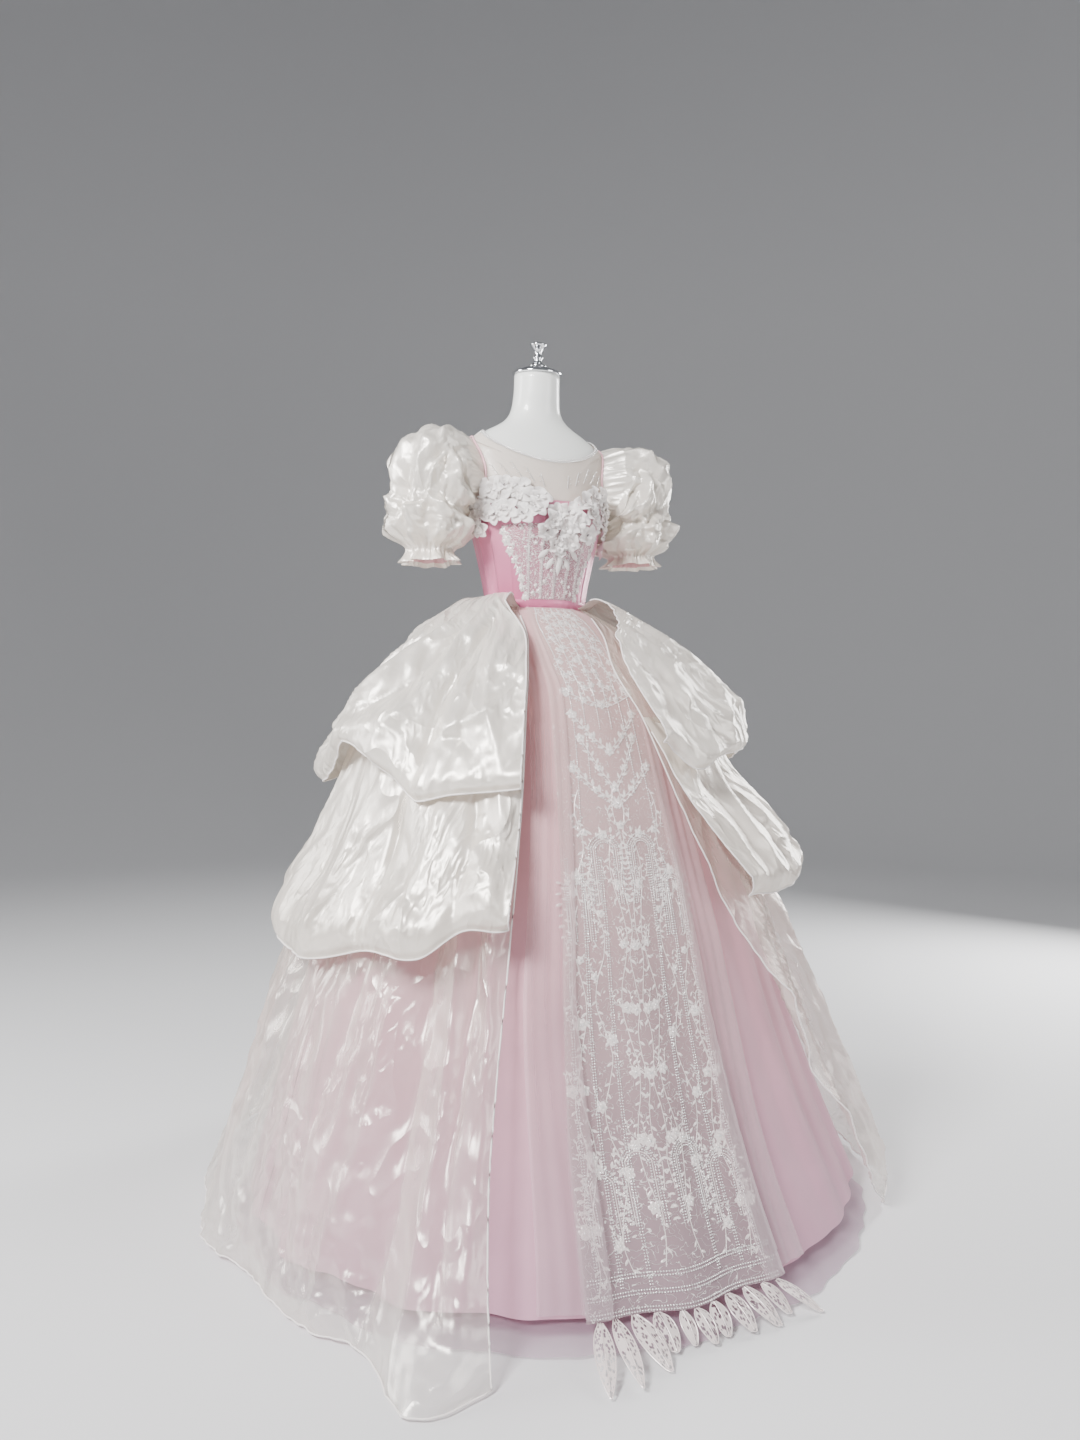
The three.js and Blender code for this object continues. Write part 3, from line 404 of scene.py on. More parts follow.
def crease_group():
    """Heights of crushed organza: ridged noise, strong in patches, plus the fold lines of a second noise."""
    tree = bpy.data.node_groups.new("crushed_organza", "ShaderNodeTree")
    tree.interface.new_socket("Place", in_out="INPUT", socket_type="NodeSocketVector")
    tree.interface.new_socket("Height", in_out="OUTPUT", socket_type="NodeSocketFloat")
    place = tree.nodes.new("NodeGroupInput").outputs[0]
    along = node(tree, "VectorMath", {0: place, 1: (1.0, 0.4, 1.0)}, operation="MULTIPLY").outputs[0]
    fine = node(
        tree,
        "TexNoise",
        {"Vector": along, "Scale": 75, "Detail": 2, "Roughness": 0.65, "Distortion": 0.4},
        noise_type="RIDGED_MULTIFRACTAL",
    ).outputs[0]
    wide = node(tree, "TexNoise", {"Vector": along, "Scale": 13, "Detail": 1, "Distortion": 0.8}).outputs[0]
    wide = sums(tree, "ABSOLUTE", sums(tree, "SUBTRACT", wide, 0.5), 0)
    patch = node(tree, "TexNoise", {"Vector": along, "Scale": 12, "Detail": 1}).outputs[0]
    reach = {"Value": patch, "From Min": 0.44, "From Max": 0.58, "To Min": 0.1}
    strong = node(tree, "MapRange", reach).outputs[0]
    fine = sums(tree, "MULTIPLY", sums(tree, "MULTIPLY", fine, strong), 0.62)
    out = tree.nodes.new("NodeGroupOutput")
    tree.links.new(sums(tree, "ADD", fine, sums(tree, "MULTIPLY", wide, -5.0)), out.inputs[0])
    return tree


def weave_group():
    """Heights of a fine square weave or net, from two crossed sets of threads."""
    tree = bpy.data.node_groups.new("fine_weave", "ShaderNodeTree")
    tree.interface.new_socket("Place", in_out="INPUT", socket_type="NodeSocketVector")
    tree.interface.new_socket("Threads", in_out="INPUT", socket_type="NodeSocketFloat")
    tree.interface.new_socket("Height", in_out="OUTPUT", socket_type="NodeSocketFloat")
    source = tree.nodes.new("NodeGroupInput")
    xyz = node(tree, "SeparateXYZ", {0: source.outputs[0]})
    waves = []
    for axis in (0, 1):
        turns = sums(tree, "MULTIPLY", xyz.outputs[axis], source.outputs[1])
        waves.append(sums(tree, "ABSOLUTE", sums(tree, "SINE", turns, 0), 0))
    out = tree.nodes.new("NodeGroupOutput")
    tree.links.new(sums(tree, "MAXIMUM", waves[0], waves[1]), out.inputs[0])
    return tree


CRUSHED = crease_group()
WEAVE = weave_group()


def group(tree, which, inputs):
    """One use of a node group."""
    made = tree.nodes.new("ShaderNodeGroup")
    made.node_tree = which
    for key, value in inputs.items():
        if isinstance(value, bpy.types.NodeSocket):
            tree.links.new(value, made.inputs[key])
        else:
            made.inputs[key].default_value = value
    return made.outputs[0]


def band(tree, value, low, high):
    """0 below low, 1 above high; low may be above high, which turns it round."""
    return node(tree, "MapRange", {"Value": value, "From Min": low, "From Max": high}).outputs[0]


def tracery(tree, place, scale, width):
    """Winding threads: the lines where smooth noise passes through its middle value."""
    winding = {"Vector": place, "Scale": scale, "Detail": 1, "Distortion": 0.6}
    field = node(tree, "TexNoise", winding).outputs[0]
    return band(tree, sums(tree, "ABSOLUTE", sums(tree, "SUBTRACT", field, 0.5), 0), width, width * 0.5)


def cloth(name, colours, rough=0.5, sheen=0.2, opacity=(1, 1), glow=0.2, crush=0.0, threads=3000, shine=0.5,
          metal=0.0, stitched=None, holes=None):
    """A thin cloth. colours run from its low end to its high end, opacity from face on to edge on.

    stitched is the scale and width of silver threads worked all over it, holes the scale and share of slits.
    """
    material = bpy.data.materials.new(name)
    material.use_nodes = True
    tree = material.node_tree
    tree.nodes.clear()
    where = node(tree, "TexCoord").outputs
    height = node(tree, "SeparateXYZ", {0: where["Object"]}).outputs[2]
    run = band(tree, height, colours[0][0], colours[1][0])
    ends = {0: run, 6: (*colours[0][1], 1), 7: (*colours[1][1], 1)}
    tone = node(tree, "Mix", ends, data_type="RGBA").outputs[2]
    mottle = node(tree, "TexNoise", {"Vector": where["Object"], "Scale": 9, "Detail": 3}).outputs[0]
    light = node(tree, "MapRange", {"Value": mottle, "To Min": 0.86, "To Max": 1.1}).outputs[0]
    tone = node(tree, "HueSaturation", {"Color": tone, "Value": light}).outputs[0]
    weave = group(tree, WEAVE, {"Place": where["UV"], "Threads": threads})
    bump = node(tree, "Bump", {"Height": weave, "Strength": 0.12, "Distance": 0.0004}).outputs[0]
    if crush:
        crushed = group(tree, CRUSHED, {"Place": where["UV"]})
        facets = {"Height": crushed, "Normal": bump, "Strength": crush, "Distance": 0.007}
        bump = node(tree, "Bump", facets).outputs[0]
    if stitched:
        thread = tracery(tree, where["UV"], *stitched)
        tone = node(tree, "Mix", {0: thread, 6: tone, 7: (0.84, 0.80, 0.78, 1)}, data_type="RGBA").outputs[2]
        raised = {"Height": thread, "Normal": bump, "Strength": 0.7, "Distance": 0.001}
        bump = node(tree, "Bump", raised).outputs[0]
    solid = node(
        tree,
        "BsdfPrincipled",
        {
            "Base Color": tone,
            "Roughness": rough,
            "Metallic": metal,
            "Specular IOR Level": shine,
            "Sheen Weight": sheen,
            "Sheen Roughness": 0.4,
            "Anisotropic": 0.65 if crush else 0.0,
            "Normal": bump,
        },
    )
    if crush:
        grain = node(tree, "Tangent", {}, direction_type="UV_MAP", uv_map="cloth").outputs[0]
        tree.links.new(grain, solid.inputs["Tangent"])
    solid = solid.outputs[0]
    shaded = solid
    if glow:
        through = node(tree, "BsdfTranslucent", {"Color": tone, "Normal": bump}).outputs[0]
        shaded = node(tree, "MixShader", {0: glow, 1: solid, 2: through}).outputs[0]
    if opacity != (1, 1) or holes:
        facing = node(tree, "LayerWeight", {"Blend": 0.5}).outputs["Facing"]
        cover = {"Value": facing, "To Min": opacity[0], "To Max": opacity[1]}
        hides = node(tree, "MapRange", cover).outputs[0]
        if stitched:
            hides = sums(tree, "MAXIMUM", hides, thread)
        if holes:
            slit = node(tree, "TexVoronoi", {"Vector": where["UV"], "Scale": holes[0]}).outputs["Distance"]
            hides = sums(tree, "MULTIPLY", hides, band(tree, slit, holes[1] - 0.06, holes[1] + 0.06))
        clear = node(tree, "BsdfTransparent", {}).outputs[0]
        shaded = node(tree, "MixShader", {0: hides, 1: clear, 2: shaded}).outputs[0]
    out = node(tree, "OutputMaterial", {})
    tree.links.new(shaded, out.inputs[0])
    return material


def hard(name, colour, rough, metal=0.0, coat=0.0, wear=0.04):
    """A hard finish with a faint unevenness in its shine."""
    material = bpy.data.materials.new(name)
    material.use_nodes = True
    tree = material.node_tree
    tree.nodes.clear()
    where = node(tree, "TexCoord").outputs["Object"]
    patchy = node(tree, "TexNoise", {"Vector": where, "Scale": 40, "Detail": 4}).outputs[0]
    dull = node(tree, "MapRange", {"Value": patchy, "To Min": rough, "To Max": rough + wear}).outputs[0]
    fine = node(tree, "TexNoise", {"Vector": where, "Scale": 300, "Detail": 2}).outputs[0]
    bump = node(tree, "Bump", {"Height": fine, "Strength": 0.03, "Distance": 0.0003}).outputs[0]
    solid = node(
        tree,
        "BsdfPrincipled",
        {
            "Base Color": (*colour, 1),
            "Roughness": dull,
            "Metallic": metal,
            "Coat Weight": coat,
            "Normal": bump,
        },
    )
    out = node(tree, "OutputMaterial", {})
    tree.links.new(solid.outputs[0], out.inputs[0])
    return material


IVORY = (0.86, 0.79, 0.70)
CREAM = (0.90, 0.85, 0.78)
ROSE = (0.92, 0.53, 0.55)
MAUVE = (0.74, 0.42, 0.54)
ORGANZA = cloth(
    "organza_tier", ((0.5, IVORY), (1.2, CREAM)),
    rough=0.34, sheen=0.0, glow=0.15, crush=1.0, threads=2600, shine=0.9, metal=0.28,
)
ORGANZA_SHEER = cloth(
    "organza_sheer", ((0.0, CREAM), (1.0, IVORY)),
    rough=0.26, sheen=0.0, opacity=(0.26, 0.86), glow=0.15, crush=1.0, threads=2600, shine=1.0, metal=0.4,
)
ORGANZA_SLEEVE = cloth(
    "organza_sleeve", ((1.2, IVORY), (1.5, CREAM)),
    rough=0.34, sheen=0.0, glow=0.15, crush=1.0, threads=2600, shine=0.9, metal=0.28,
)
TULLE_PINK = cloth(
    "tulle_pink", ((0.05, MAUVE), (1.0, ROSE)),
    rough=0.8, sheen=0.5, glow=0.3, threads=1800, shine=0.2,
)
TULLE_VEIL = cloth(
    "tulle_veil", ((0.05, (0.68, 0.56, 0.60)), (1.0, (0.88, 0.64, 0.64))),
    rough=0.8, sheen=0.4, opacity=(0.3, 0.75), glow=0.3, threads=1800, shine=0.2,
)
TULLE_SHEER = cloth(
    "tulle_sheer", ((0.0, (0.56, 0.40, 0.50)), (0.3, (0.66, 0.44, 0.54))),
    rough=0.8, sheen=0.4, opacity=(0.4, 0.85), glow=0.4, threads=1800, shine=0.2,
)
# Painted shade: the lace net's colour darkens towards the hem, to about half its brightness at the floor, for
# the shadow seen through its open gaps.
LACE_NET = cloth(
    "lace_net", ((0.0, (0.34, 0.25, 0.28)), (1.1, (0.70, 0.48, 0.46))),
    rough=0.7, sheen=0.3, opacity=(0.86, 1.0), glow=0.15, threads=1400, shine=0.3, stitched=(80, 0.014),
)
BODICE_NET = cloth(
    "bodice_net", ((1.1, (0.74, 0.48, 0.52)), (1.4, (0.74, 0.48, 0.52))),
    rough=0.6, sheen=0.3, opacity=(0.35, 0.7), glow=0.0, threads=1400, shine=0.4, stitched=(150, 0.04),
)
THREAD = cloth(
    "silver_thread", ((0.0, (0.84, 0.75, 0.73)), (1.4, (0.88, 0.80, 0.78))),
    rough=0.3, sheen=0.4, glow=0.0, threads=5200, shine=0.9, metal=0.25,
)
SATIN = cloth(
    "pink_satin", ((1.15, (0.60, 0.13, 0.27)), (1.36, (0.68, 0.24, 0.36))),
    rough=0.34, sheen=0.5, glow=0.0, threads=5200, shine=0.7, metal=0.15,
)
PIPING = cloth(
    "pink_piping", ((1.1, (0.80, 0.42, 0.48)), (1.6, (0.82, 0.47, 0.52))),
    rough=0.45, sheen=0.5, glow=0.0, threads=5200, shine=0.6,
)
NET = cloth(
    "nude_net", ((1.35, (0.82, 0.68, 0.60)), (1.55, (0.84, 0.74, 0.66))),
    rough=0.8, opacity=(0.5, 0.9), threads=2600, shine=0.2,
)
PETAL = cloth(
    "petal_cloth", ((1.2, (0.93, 0.88, 0.86)), (1.5, (0.95, 0.91, 0.89))),
    rough=0.55, sheen=0.0, glow=0.1, threads=2600, shine=0.4,
)
LINING_PINK = cloth(
    "pink_lining", ((1.2, (0.78, 0.45, 0.48)), (1.5, (0.80, 0.50, 0.53))),
    sheen=0.3, opacity=(0.9, 1.0), glow=0.3, threads=2600, shine=0.4,
)
FORM_WHITE = hard("form_white", (0.84, 0.85, 0.82), rough=0.3, coat=0.4)
CHROME = hard("chrome", (0.82, 0.83, 0.85), rough=0.06, metal=1.0)
STEEL = hard("steel", (0.6, 0.61, 0.62), rough=0.3, metal=1.0)
BEAD = hard("glass_bead", (0.86, 0.84, 0.83), rough=0.1, metal=0.35, coat=0.6)
BEAD_DARK = hard("smoked_bead", (0.34, 0.31, 0.32), rough=0.12, metal=0.6, coat=0.6)
print("materials", len(bpy.data.materials))

# %% [markdown]
# The form: a smooth white shell from hip to neck, with a stepped chrome cap and a knob on its slanted neck,
# on a pole and a round plate that the skirt hides. The frame's own pole and plate stay as they are.

# %% Dress form
NECK_TOP_Z = 1655
NECK_LEAN = 5


def body_surface(bearing, z):
    """A point on the form, in millimetres."""
    half, front, back, y = (hermite(z, BODY["z"], BODY[c]) for c in ("half", "front", "back", "y"))
    side = np.abs((bearing + 180) % 360 - 180)
    bust = BUST["out"] * bell(side, BUST["bearing"], BUST["spread"]) * bell(z, BUST["z"], BUST["rise"])
    c = np.cos(rad(bearing))
    depth = np.where(c > 0, front + bust, back)
    return np.stack(np.broadcast_arrays(half * np.sin(rad(bearing)), y - depth * c, z + 0 * c), -1)


def body_point(bearing, z, clear):
    """A point clear of the form by a distance along its normal, as metres."""
    across = body_surface(bearing + 0.5, z) - body_surface(bearing - 0.5, z)
    down = body_surface(bearing, z - 0.5) - body_surface(bearing, z + 0.5)
    n = np.cross(down, across)
    n /= np.linalg.norm(n, axis=-1, keepdims=True)
    return (body_surface(bearing, z) + n * np.asarray(clear)[..., None]) * MM


def build_form():
    """The torso as one skin: the body's surface at every bearing and height, with the neck above it."""
    z = np.linspace(NECK_TOP_Z, 880, count(80))[:, None]
    bearing = np.linspace(-180, 180, count(96), endpoint=False)[None, :]
    P = body_surface(bearing, z)
    lean = math.tan(math.radians(NECK_LEAN)) * step(z, 1575, NECK_TOP_Z)
    P[..., 2] += lean * (P[..., 1] - BODY["y"][-1])
    rows, columns = P.shape[:2]
    caps = [P[:1].mean(1, keepdims=True) + 0 * P[:1], P[-1:].mean(1, keepdims=True) + 0 * P[-1:]]
    P = np.concatenate([caps[0], P, caps[1]]) * MM
    piece = make("form_torso", P, grid_faces(rows + 2, columns, True), FORM_WHITE)
    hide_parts("dress_form")


def build_cap():
    """Cap and knob: profiles of radius and height, carried round the neck's leaning axis."""
    centre, lean = np.array([0, BODY["y"][-1], NECK_TOP_Z]), math.radians(NECK_LEAN)
    cap = [
        (0, 0.6), (48.6, 0.6), (50.6, 1.6), (51, 3.4), (50.4, 4.6), (46.6, 6.6), (46, 7.2), (45.6, 8.2),
        (42, 9.2), (33.6, 11.4), (33, 12), (32.4, 13.2), (30, 14.2), (20.6, 15.8), (20, 16), (0, 16),
    ]
    knob = [
        (0, 16.4), (17, 16.4), (17.9, 17.6), (18, 19.4), (16.6, 21.6), (11.6, 24.6), (9, 27.6), (8, 31),
        (8.4, 33), (10.6, 34.6), (11, 36), (10.4, 37.6), (8, 40), (6.9, 43), (6.8, 46), (8, 50),
        (12, 55.5), (16.6, 60), (17.4, 61.6), (17, 63.2), (15.6, 64), (0, 64),
    ]
    for name, profile, node_name in (("cap_disc", cap, "neck_cap"), ("cap_knob", knob, "neck_knob")):
        P = turned(profile, 72, centre, lean)
        piece = make(name, P, grid_faces(P.shape[0], 72, True), CHROME)
        piece.data.set_sharp_from_angle(angle=math.radians(50))
        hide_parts(node_name)


build_form()
build_cap()
for name in ("stand_base", "stand_pole"):
    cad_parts[name].data.materials.clear()
    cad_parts[name].data.materials.append(STEEL)
print("form and cap")

# %% [markdown]
# The bodice: seven satin panels, boned at their seams, each its own piece of cloth stretched over the form.
# The boning lies in narrow channels that stand a millimetre proud.

# %% Bodice
BONES = [-99, -81, -63, -45, -27, -14, 0, 14, 27, 45, 63, 81, 99, 126, 150]
CORSET_PANELS = [
    ("corset_front", -27, 27),
    ("corset_side_front_left", 27, 63),
    ("corset_side_left", 63, 108),
    ("corset_back_left", 108, 180),
    ("corset_side_front_right", -63, -27),
    ("corset_side_right", -108, -63),
    ("corset_back_right", -180, -108),
]


def bone_rise(bearing):
    """How far the boning channels lift the satin."""
    return 1.1 * sum(bell(np.abs(bearing), abs(b), 1.3) for b in set(np.abs(BONES)))


def build_corset():
    """Each satin panel: the body between two bearings plus the satin's clearance and the bones' rise."""
    for name, low, high in CORSET_PANELS:
        z = np.linspace(CORSET_TOP_Z, WAIST_Z, count(46))[:, None]
        inset = [2 if low == -180 else 0.15, 2 if high == 180 else 0.15]
        bearing = np.linspace(low + inset[0], high - inset[1], count(1.4 * (high - low)))[None, :]
        rise = 1.9 + bone_rise(bearing) + 0.25 * noise(bearing / 9, z / 24, 4)
        rise = rise - 0.5 * bell(z, WAIST_Z + 30, 22)
        P = body_point(bearing + 0 * z, z + 0 * bearing, rise)
        piece = sheet_of("satin_" + name[7:], P, SATIN)
        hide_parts(name)
        wide = round(float(np.linalg.norm(np.diff(P[0], axis=0), axis=-1).sum()) + 0.01, 3)
        cut(piece, "pink", (wide, 0.212), "stretched", ["form_torso"])


def build_waistband():
    """A narrow band: the body's surface at the waist, pushed out most along its middle, and gathered."""
    z = np.linspace(WAIST_Z + 16, WAIST_Z + 3.4, 14)[:, None]
    bearing = np.linspace(-180, 180, count(240), endpoint=False)[None, :]
    gathers = 0.25 * np.sin(rad(40 * bearing)) * bell(z, WAIST_Z + 9, 5)
    roll = np.sin(np.linspace(0, np.pi, 14))[:, None] * 0.9 + gathers
    P = body_point(bearing + 0 * z, z + 0 * bearing, 3.0 + roll)
    piece = sheet_of("satin_waistband", P, SATIN, closed=True)
    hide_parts("waistband")
    cut(piece, "pink", (0.61, 0.014), "stretched", ["satin_front", "satin_back_left"])


build_corset()
build_waistband()
print("bodice of", len(CORSET_PANELS), "panels")

# %% [markdown]
# The yoke: nude net so fine that the form shows through, joined to the bodice's top edge and cut to a
# scooped neck, edged with a row of beads. Pink piping covers the armhole seams, and a zip closes the back.

# %% Yoke, piping and zip
def neckline(bearing):
    """Height of the neckline, from the front or back scoop up to the shoulder."""
    low = np.where(np.cos(rad(bearing)) > 0, NECKLINE["front"], NECKLINE["back"])
    return low + (NECKLINE["shoulder"] - low) * np.sin(rad(bearing)) ** 2


def yoke_grid(sides, behind, clear):
    """The yoke between the armholes: sides run from -1 to 1, and rows from the neck down to the bodice."""
    seam = 0.88
    up = np.linspace(1, 0, count(50))[:, None]
    turn = np.minimum(up / seam, 1) * np.pi
    arm_bearing = ARMHOLE["bearing"] - 0.3 - ARMHOLE["half_bearing"] * np.sin(turn)
    arm_z = ARMHOLE["z"] - ARMHOLE["half_height"] * np.cos(turn)
    shoulder = NECKLINE["shoulder"]
    arm_z = arm_z + (shoulder - arm_z) * np.clip((up - seam) / (1 - seam), 0, 1)
    bottom = CORSET_TOP_Z + 0.4
    side = sides[None, :]
    top = neckline(180 - 90 * np.abs(side) if behind else 90 * np.abs(side))
    z = bottom + (top - bottom) * up + np.abs(side) * (arm_z - bottom - (shoulder - bottom) * up)
    bearing = 180 - side * arm_bearing if behind else side * arm_bearing
    ripple = 0.5 * noise(side * 9, up * 4, 12)
    return body_point(bearing + 0 * z, z, clear + ripple)


def build_yoke():
    """The front and the two back pieces of net, each a yoke_grid between two bearings."""
    halves = [
        ("net_yoke_front", "yoke_front", np.linspace(-1, 1, count(110)), False, (0.33, 0.15), 0.029),
        ("net_yoke_back_left", "yoke_back_left", np.linspace(1, 0.032, count(60)), True, (0.17, 0.15), 0.019),
        ("net_yoke_back_right", "yoke_back_right", np.linspace(-0.032, -1, count(60)), True,
         (0.17, 0.15), 0.019),
    ]
    for name, node_name, sides, behind, flat, area in halves:
        piece = sheet_of(name, yoke_grid(sides, behind, 3.2), NET)
        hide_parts(node_name)
        cut(piece, "nude", flat, "stretched", ["form_torso"], area)


def armhole_ring(wider, clear, t):
    """Points round the left armhole, wider than the opening by a distance."""
    bearing = ARMHOLE["bearing"] - (ARMHOLE["half_bearing"] + wider / 2.4) * np.sin(rad(t))
    z = ARMHOLE["z"] + (ARMHOLE["half_height"] + wider) * np.cos(rad(t))
    return body_point(bearing, z, clear + 0 * t)


def build_piping():
    """A round cord carried along each armhole ring."""
    t = np.linspace(0, 360, 90)
    for side, sign in SIDE_SIGN.items():
        path = armhole_ring(7.5, 5.0, t) * [sign, 1, 1]
        piece = tubes("piping_" + side, [path], 0.0021, PIPING, 8)
        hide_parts("armhole_binding_" + side)


def build_zip():
    """A strip of tape down the middle of the back, with teeth as a raised line."""
    z = np.linspace(NECKLINE["back"] - 2, WAIST_Z, count(90))[:, None]
    bearing = np.linspace(177.5, 182.5, 13)[None, :]
    ridge = 0.9 * bell(bearing, 180, 0.45)
    piece = sheet_of("zip_tape", body_point(bearing + 0 * z, z + 0 * bearing, 2.4 + ridge), SATIN)
    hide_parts("back_zip")
    cut(piece, "pink", (0.011, 0.33), "stretched", ["form_torso"])


build_yoke()
build_piping()
build_zip()
print("yoke, piping and zip")

# %% [markdown]
# The skirts. Each layer follows its solid's own reach and folds, and then gains finer folds and crushed
# creases, which fade out at the waist, where the gathers are sewn flat.

# %% Tulle skirt and its sheer under layer
def lace_edge(z, r):
    """The bearing of the lace panel's edge at a height."""
    return np.degrees(np.arcsin(hermite(z, LACE["z"], LACE["half"]) / ellipse(r, 20)))


def tulle_grid(bearing, rows):
    """Points of the tulle skirt: plain under the lace, in soft upright folds beside it."""
    k = np.linspace(0, len(TULLE["z"]) - 1, rows)[:, None]
    r = rows_at(TULLE, k)
    side = np.abs((bearing + 180) % 360 - 180)[None, :]
    edge = lace_edge(r["z"], r)
    free = step(side, edge + 3, edge + 14)
    reach = ellipse(r, bearing[None, :]) + r["fold"] * free * folds(bearing[None, :], 16, 40)
    grown = step(k, 0.3, 4) * free
    fine = 4.5 * np.sin(rad(37 * bearing + 60 * np.sin(rad(5 * bearing))))[None, :]
    fine = fine + 1.6 * folds(bearing[None, :], 71, 10)
    reach = reach + grown * fine * (0.6 + 0.4 * noise(bearing[None, :] / 14, k * 0.8, 9))
    hem = bell(k, len(TULLE["z"]) - 1, 0.35) * 3.5 * np.sin(rad(23 * bearing))[None, :] * free
    return at(bearing[None, :], reach + hem, r["z"])


def build_tulle():
    """The pink skirt and the sheer foot: an ellipse at each height plus folds that grow downwards."""
    for name, low, high, area in (("front", -90, 90, 1.6), ("back", 90, 270, 1.7)):
        bearing = np.linspace(low + 0.1, high - 0.1, count(280))
        piece = sheet_of("tulle_skirt_" + name, tulle_grid(bearing, count(84)), TULLE_PINK)
        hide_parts("tulle_" + name)
        cut(piece, "tulle", (2.3, 1.3), "gathered", ["satin_waistband"], area)
        k = np.linspace(0, 3, count(26))[:, None]
        r = rows_at(LINING, k)
        fine = 2.5 * np.sin(rad(47 * bearing + 50 * np.sin(rad(4 * bearing))))[None, :] * step(k, 0, 2)
        reach = ellipse(r, bearing[None, :]) + r["fold"] * folds(bearing[None, :], 16, 40) + fine
        reach = reach + 4 * noise(bearing[None, :] / 3.0, k * 1.4, 8) * step(k, 1.5, 3)
        z = r["z"] + 3 * step(k, 2, 3) * (1 + noise(bearing[None, :] / 5, 0 * k, 71))
        under = sheet_of("sheer_foot_" + name, at(bearing[None, :], reach, z), TULLE_SHEER)
        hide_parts("lining_" + name)
        cut(under, "lining", (2.1, 0.3), "hung", ["tulle_skirt_" + name], 0.53)


build_tulle()


def build_veils():
    """A strip of paler tulle down each side of the lace, partly over its edge, in soft upright folds."""
    for side, sign in SIDE_SIGN.items():
        k = np.linspace(0.12, len(TULLE["z"]) - 1.04, count(90))[:, None]
        r = rows_at(TULLE, k)
        edge = lace_edge(r["z"], r)
        across = np.linspace(0, 1, count(36))[None, :]
        inner = edge * (0.8 + 0.05 * np.sin(1.7 * k))
        bearing = sign * (inner + (0.42 * edge + 4) * across)
        wave = 1.6 * np.sin(rad(1350 * across + 60 * np.sin(k))) + 1.2 * noise(across * 6, k * 0.8, 17)
        lift = 8.5 + 10 * step(k, 3, 7) * bell(across, 0.12, 0.25) + wave * step(k, 0.3, 2)
        fall = (WAIST_Z - r["z"]) / WAIST_Z
        share = np.clip(np.abs(bearing) / edge, 0, 1)
        over = 8 * fall**2 * (1 + np.cos(2 * np.pi * share)) * (share < 1)
        over = over + r["fold"] * step(np.abs(bearing), edge + 3, edge + 14)
        P = at(bearing, ellipse(r, bearing) + lift + over, r["z"])
        piece = sheet_of("veil_" + side, P, TULLE_VEIL, backwards=sign < 0)
        cut(piece, "tulle", (0.13, 1.25), "hung", ["lace_net_panel"], 0.14)


build_veils()

# %% [markdown]
# The overskirt: on each side a long sheer layer from the waist to the floor, a lower tier sewn to it under
# the upper one, and an upper tier that puffs up from the waist. Organza is stiff for its weight, so it
# stands off in a few big folds and is crushed all over into small bright facets.

# %% Overskirt
UPPER_TOP_Z = 1178.2
SEAM_Z = 960
UPPER_CREASES = [
    (44, 0.0, 33, 0.98, 2.6, 7), (47, 0.0, 45, 1.0, 2.2, -6), (50, 0.0, 59, 1.0, 3.0, -13),
    (54, 0.0, 70, 0.96, 3.2, 10), (60, 0.0, 82, 1.0, 3.0, -11), (66, 0.0, 93, 0.9, 2.6, 8),
    (75, 0.0, 105, 1.0, 3.2, -10), (86, 0.0, 112, 1.0, 2.6, 8), (99, 0.0, 121, 1.0, 3.0, -11),
    (112, 0.0, 133, 0.95, 3.0, 9), (126, 0.0, 140, 1.0, 2.8, -10), (140, 0.0, 150, 1.0, 3.0, 8),
    (153, 0.0, 160, 1.0, 3.2, -10), (166, 0.0, 168, 1.0, 2.8, 8), (36, 0.55, 52, 0.72, 2.2, 5),
    (40, 0.8, 56, 0.62, 2.0, -5), (64, 0.6, 76, 0.85, 2.4, 5), (95, 0.5, 108, 0.8, 2.4, -5),
    (25, 0.35, 40, 0.5, 2.0, 4), (20, 0.62, 32, 0.9, 2.4, -6), (16, 0.5, 26, 0.8, 2.2, 6),
    (128, 0.45, 120, 0.75, 2.4, 5),
]
LOWER_CREASES = [
    (34, 0.0, 33, 1.0, 2.4, 7), (41, 0.1, 40, 1.0, 2.6, -11), (47, 0.0, 52, 1.0, 2.8, 8),
    (58, 0.0, 66, 1.0, 3.0, -12), (69, 0.0, 78, 1.0, 3.0, 9), (82, 0.0, 90, 0.95, 3.0, -9),
    (94, 0.0, 101, 1.0, 3.0, 8), (107, 0.0, 112, 1.0, 3.0, -11), (120, 0.0, 126, 1.0, 3.2, 9),
    (133, 0.0, 138, 1.0, 3.0, -11), (149, 0.0, 152, 1.0, 3.0, 9), (163, 0.0, 165, 1.0, 3.0, -9),
    (35, 0.75, 50, 0.35, 2.2, 5), (48, 0.85, 60, 0.5, 2.2, -5), (72, 0.4, 62, 0.8, 2.2, 5),
    (25, 0.2, 31, 0.9, 2.4, -7), (21, 0.5, 27, 1.0, 2.2, 6), (98, 0.7, 86, 0.45, 2.4, 5),
]
LONG_CREASES = [
    (34, 3.5, 34, 9, 1.4, 10), (37.5, 3.8, 38, 9, 1.5, -12), (41, 4.0, 41.5, 9, 1.4, 9),
    (46, 4.2, 49, 9, 2.0, -8), (54, 4.2, 58, 9, 2.4, 6), (62, 4.0, 69, 9, 2.6, -7),
    (73, 4.2, 80, 9, 2.4, 6), (84, 4.2, 90, 9, 2.4, -7), (95, 4.0, 101, 9, 2.6, 7),
    (107, 4.2, 112, 9, 2.4, -7), (118, 4.0, 124, 9, 2.6, 7), (130, 4.2, 134, 9, 2.6, -8),
    (142, 4.0, 146, 9, 2.6, 8), (155, 4.2, 157, 9, 2.6, -8), (168, 4.0, 170, 9, 2.6, 8),
]


def fan(side, z, columns, ahead=0):
    """Bearings across one side of the overskirt, from its front edge to the back seam."""
    edge = hermite(z, FRONT_EDGE["z"], FRONT_EDGE[side]) - ahead
    return edge + (BACK_SEAM - edge) * np.linspace(0, 1, columns)


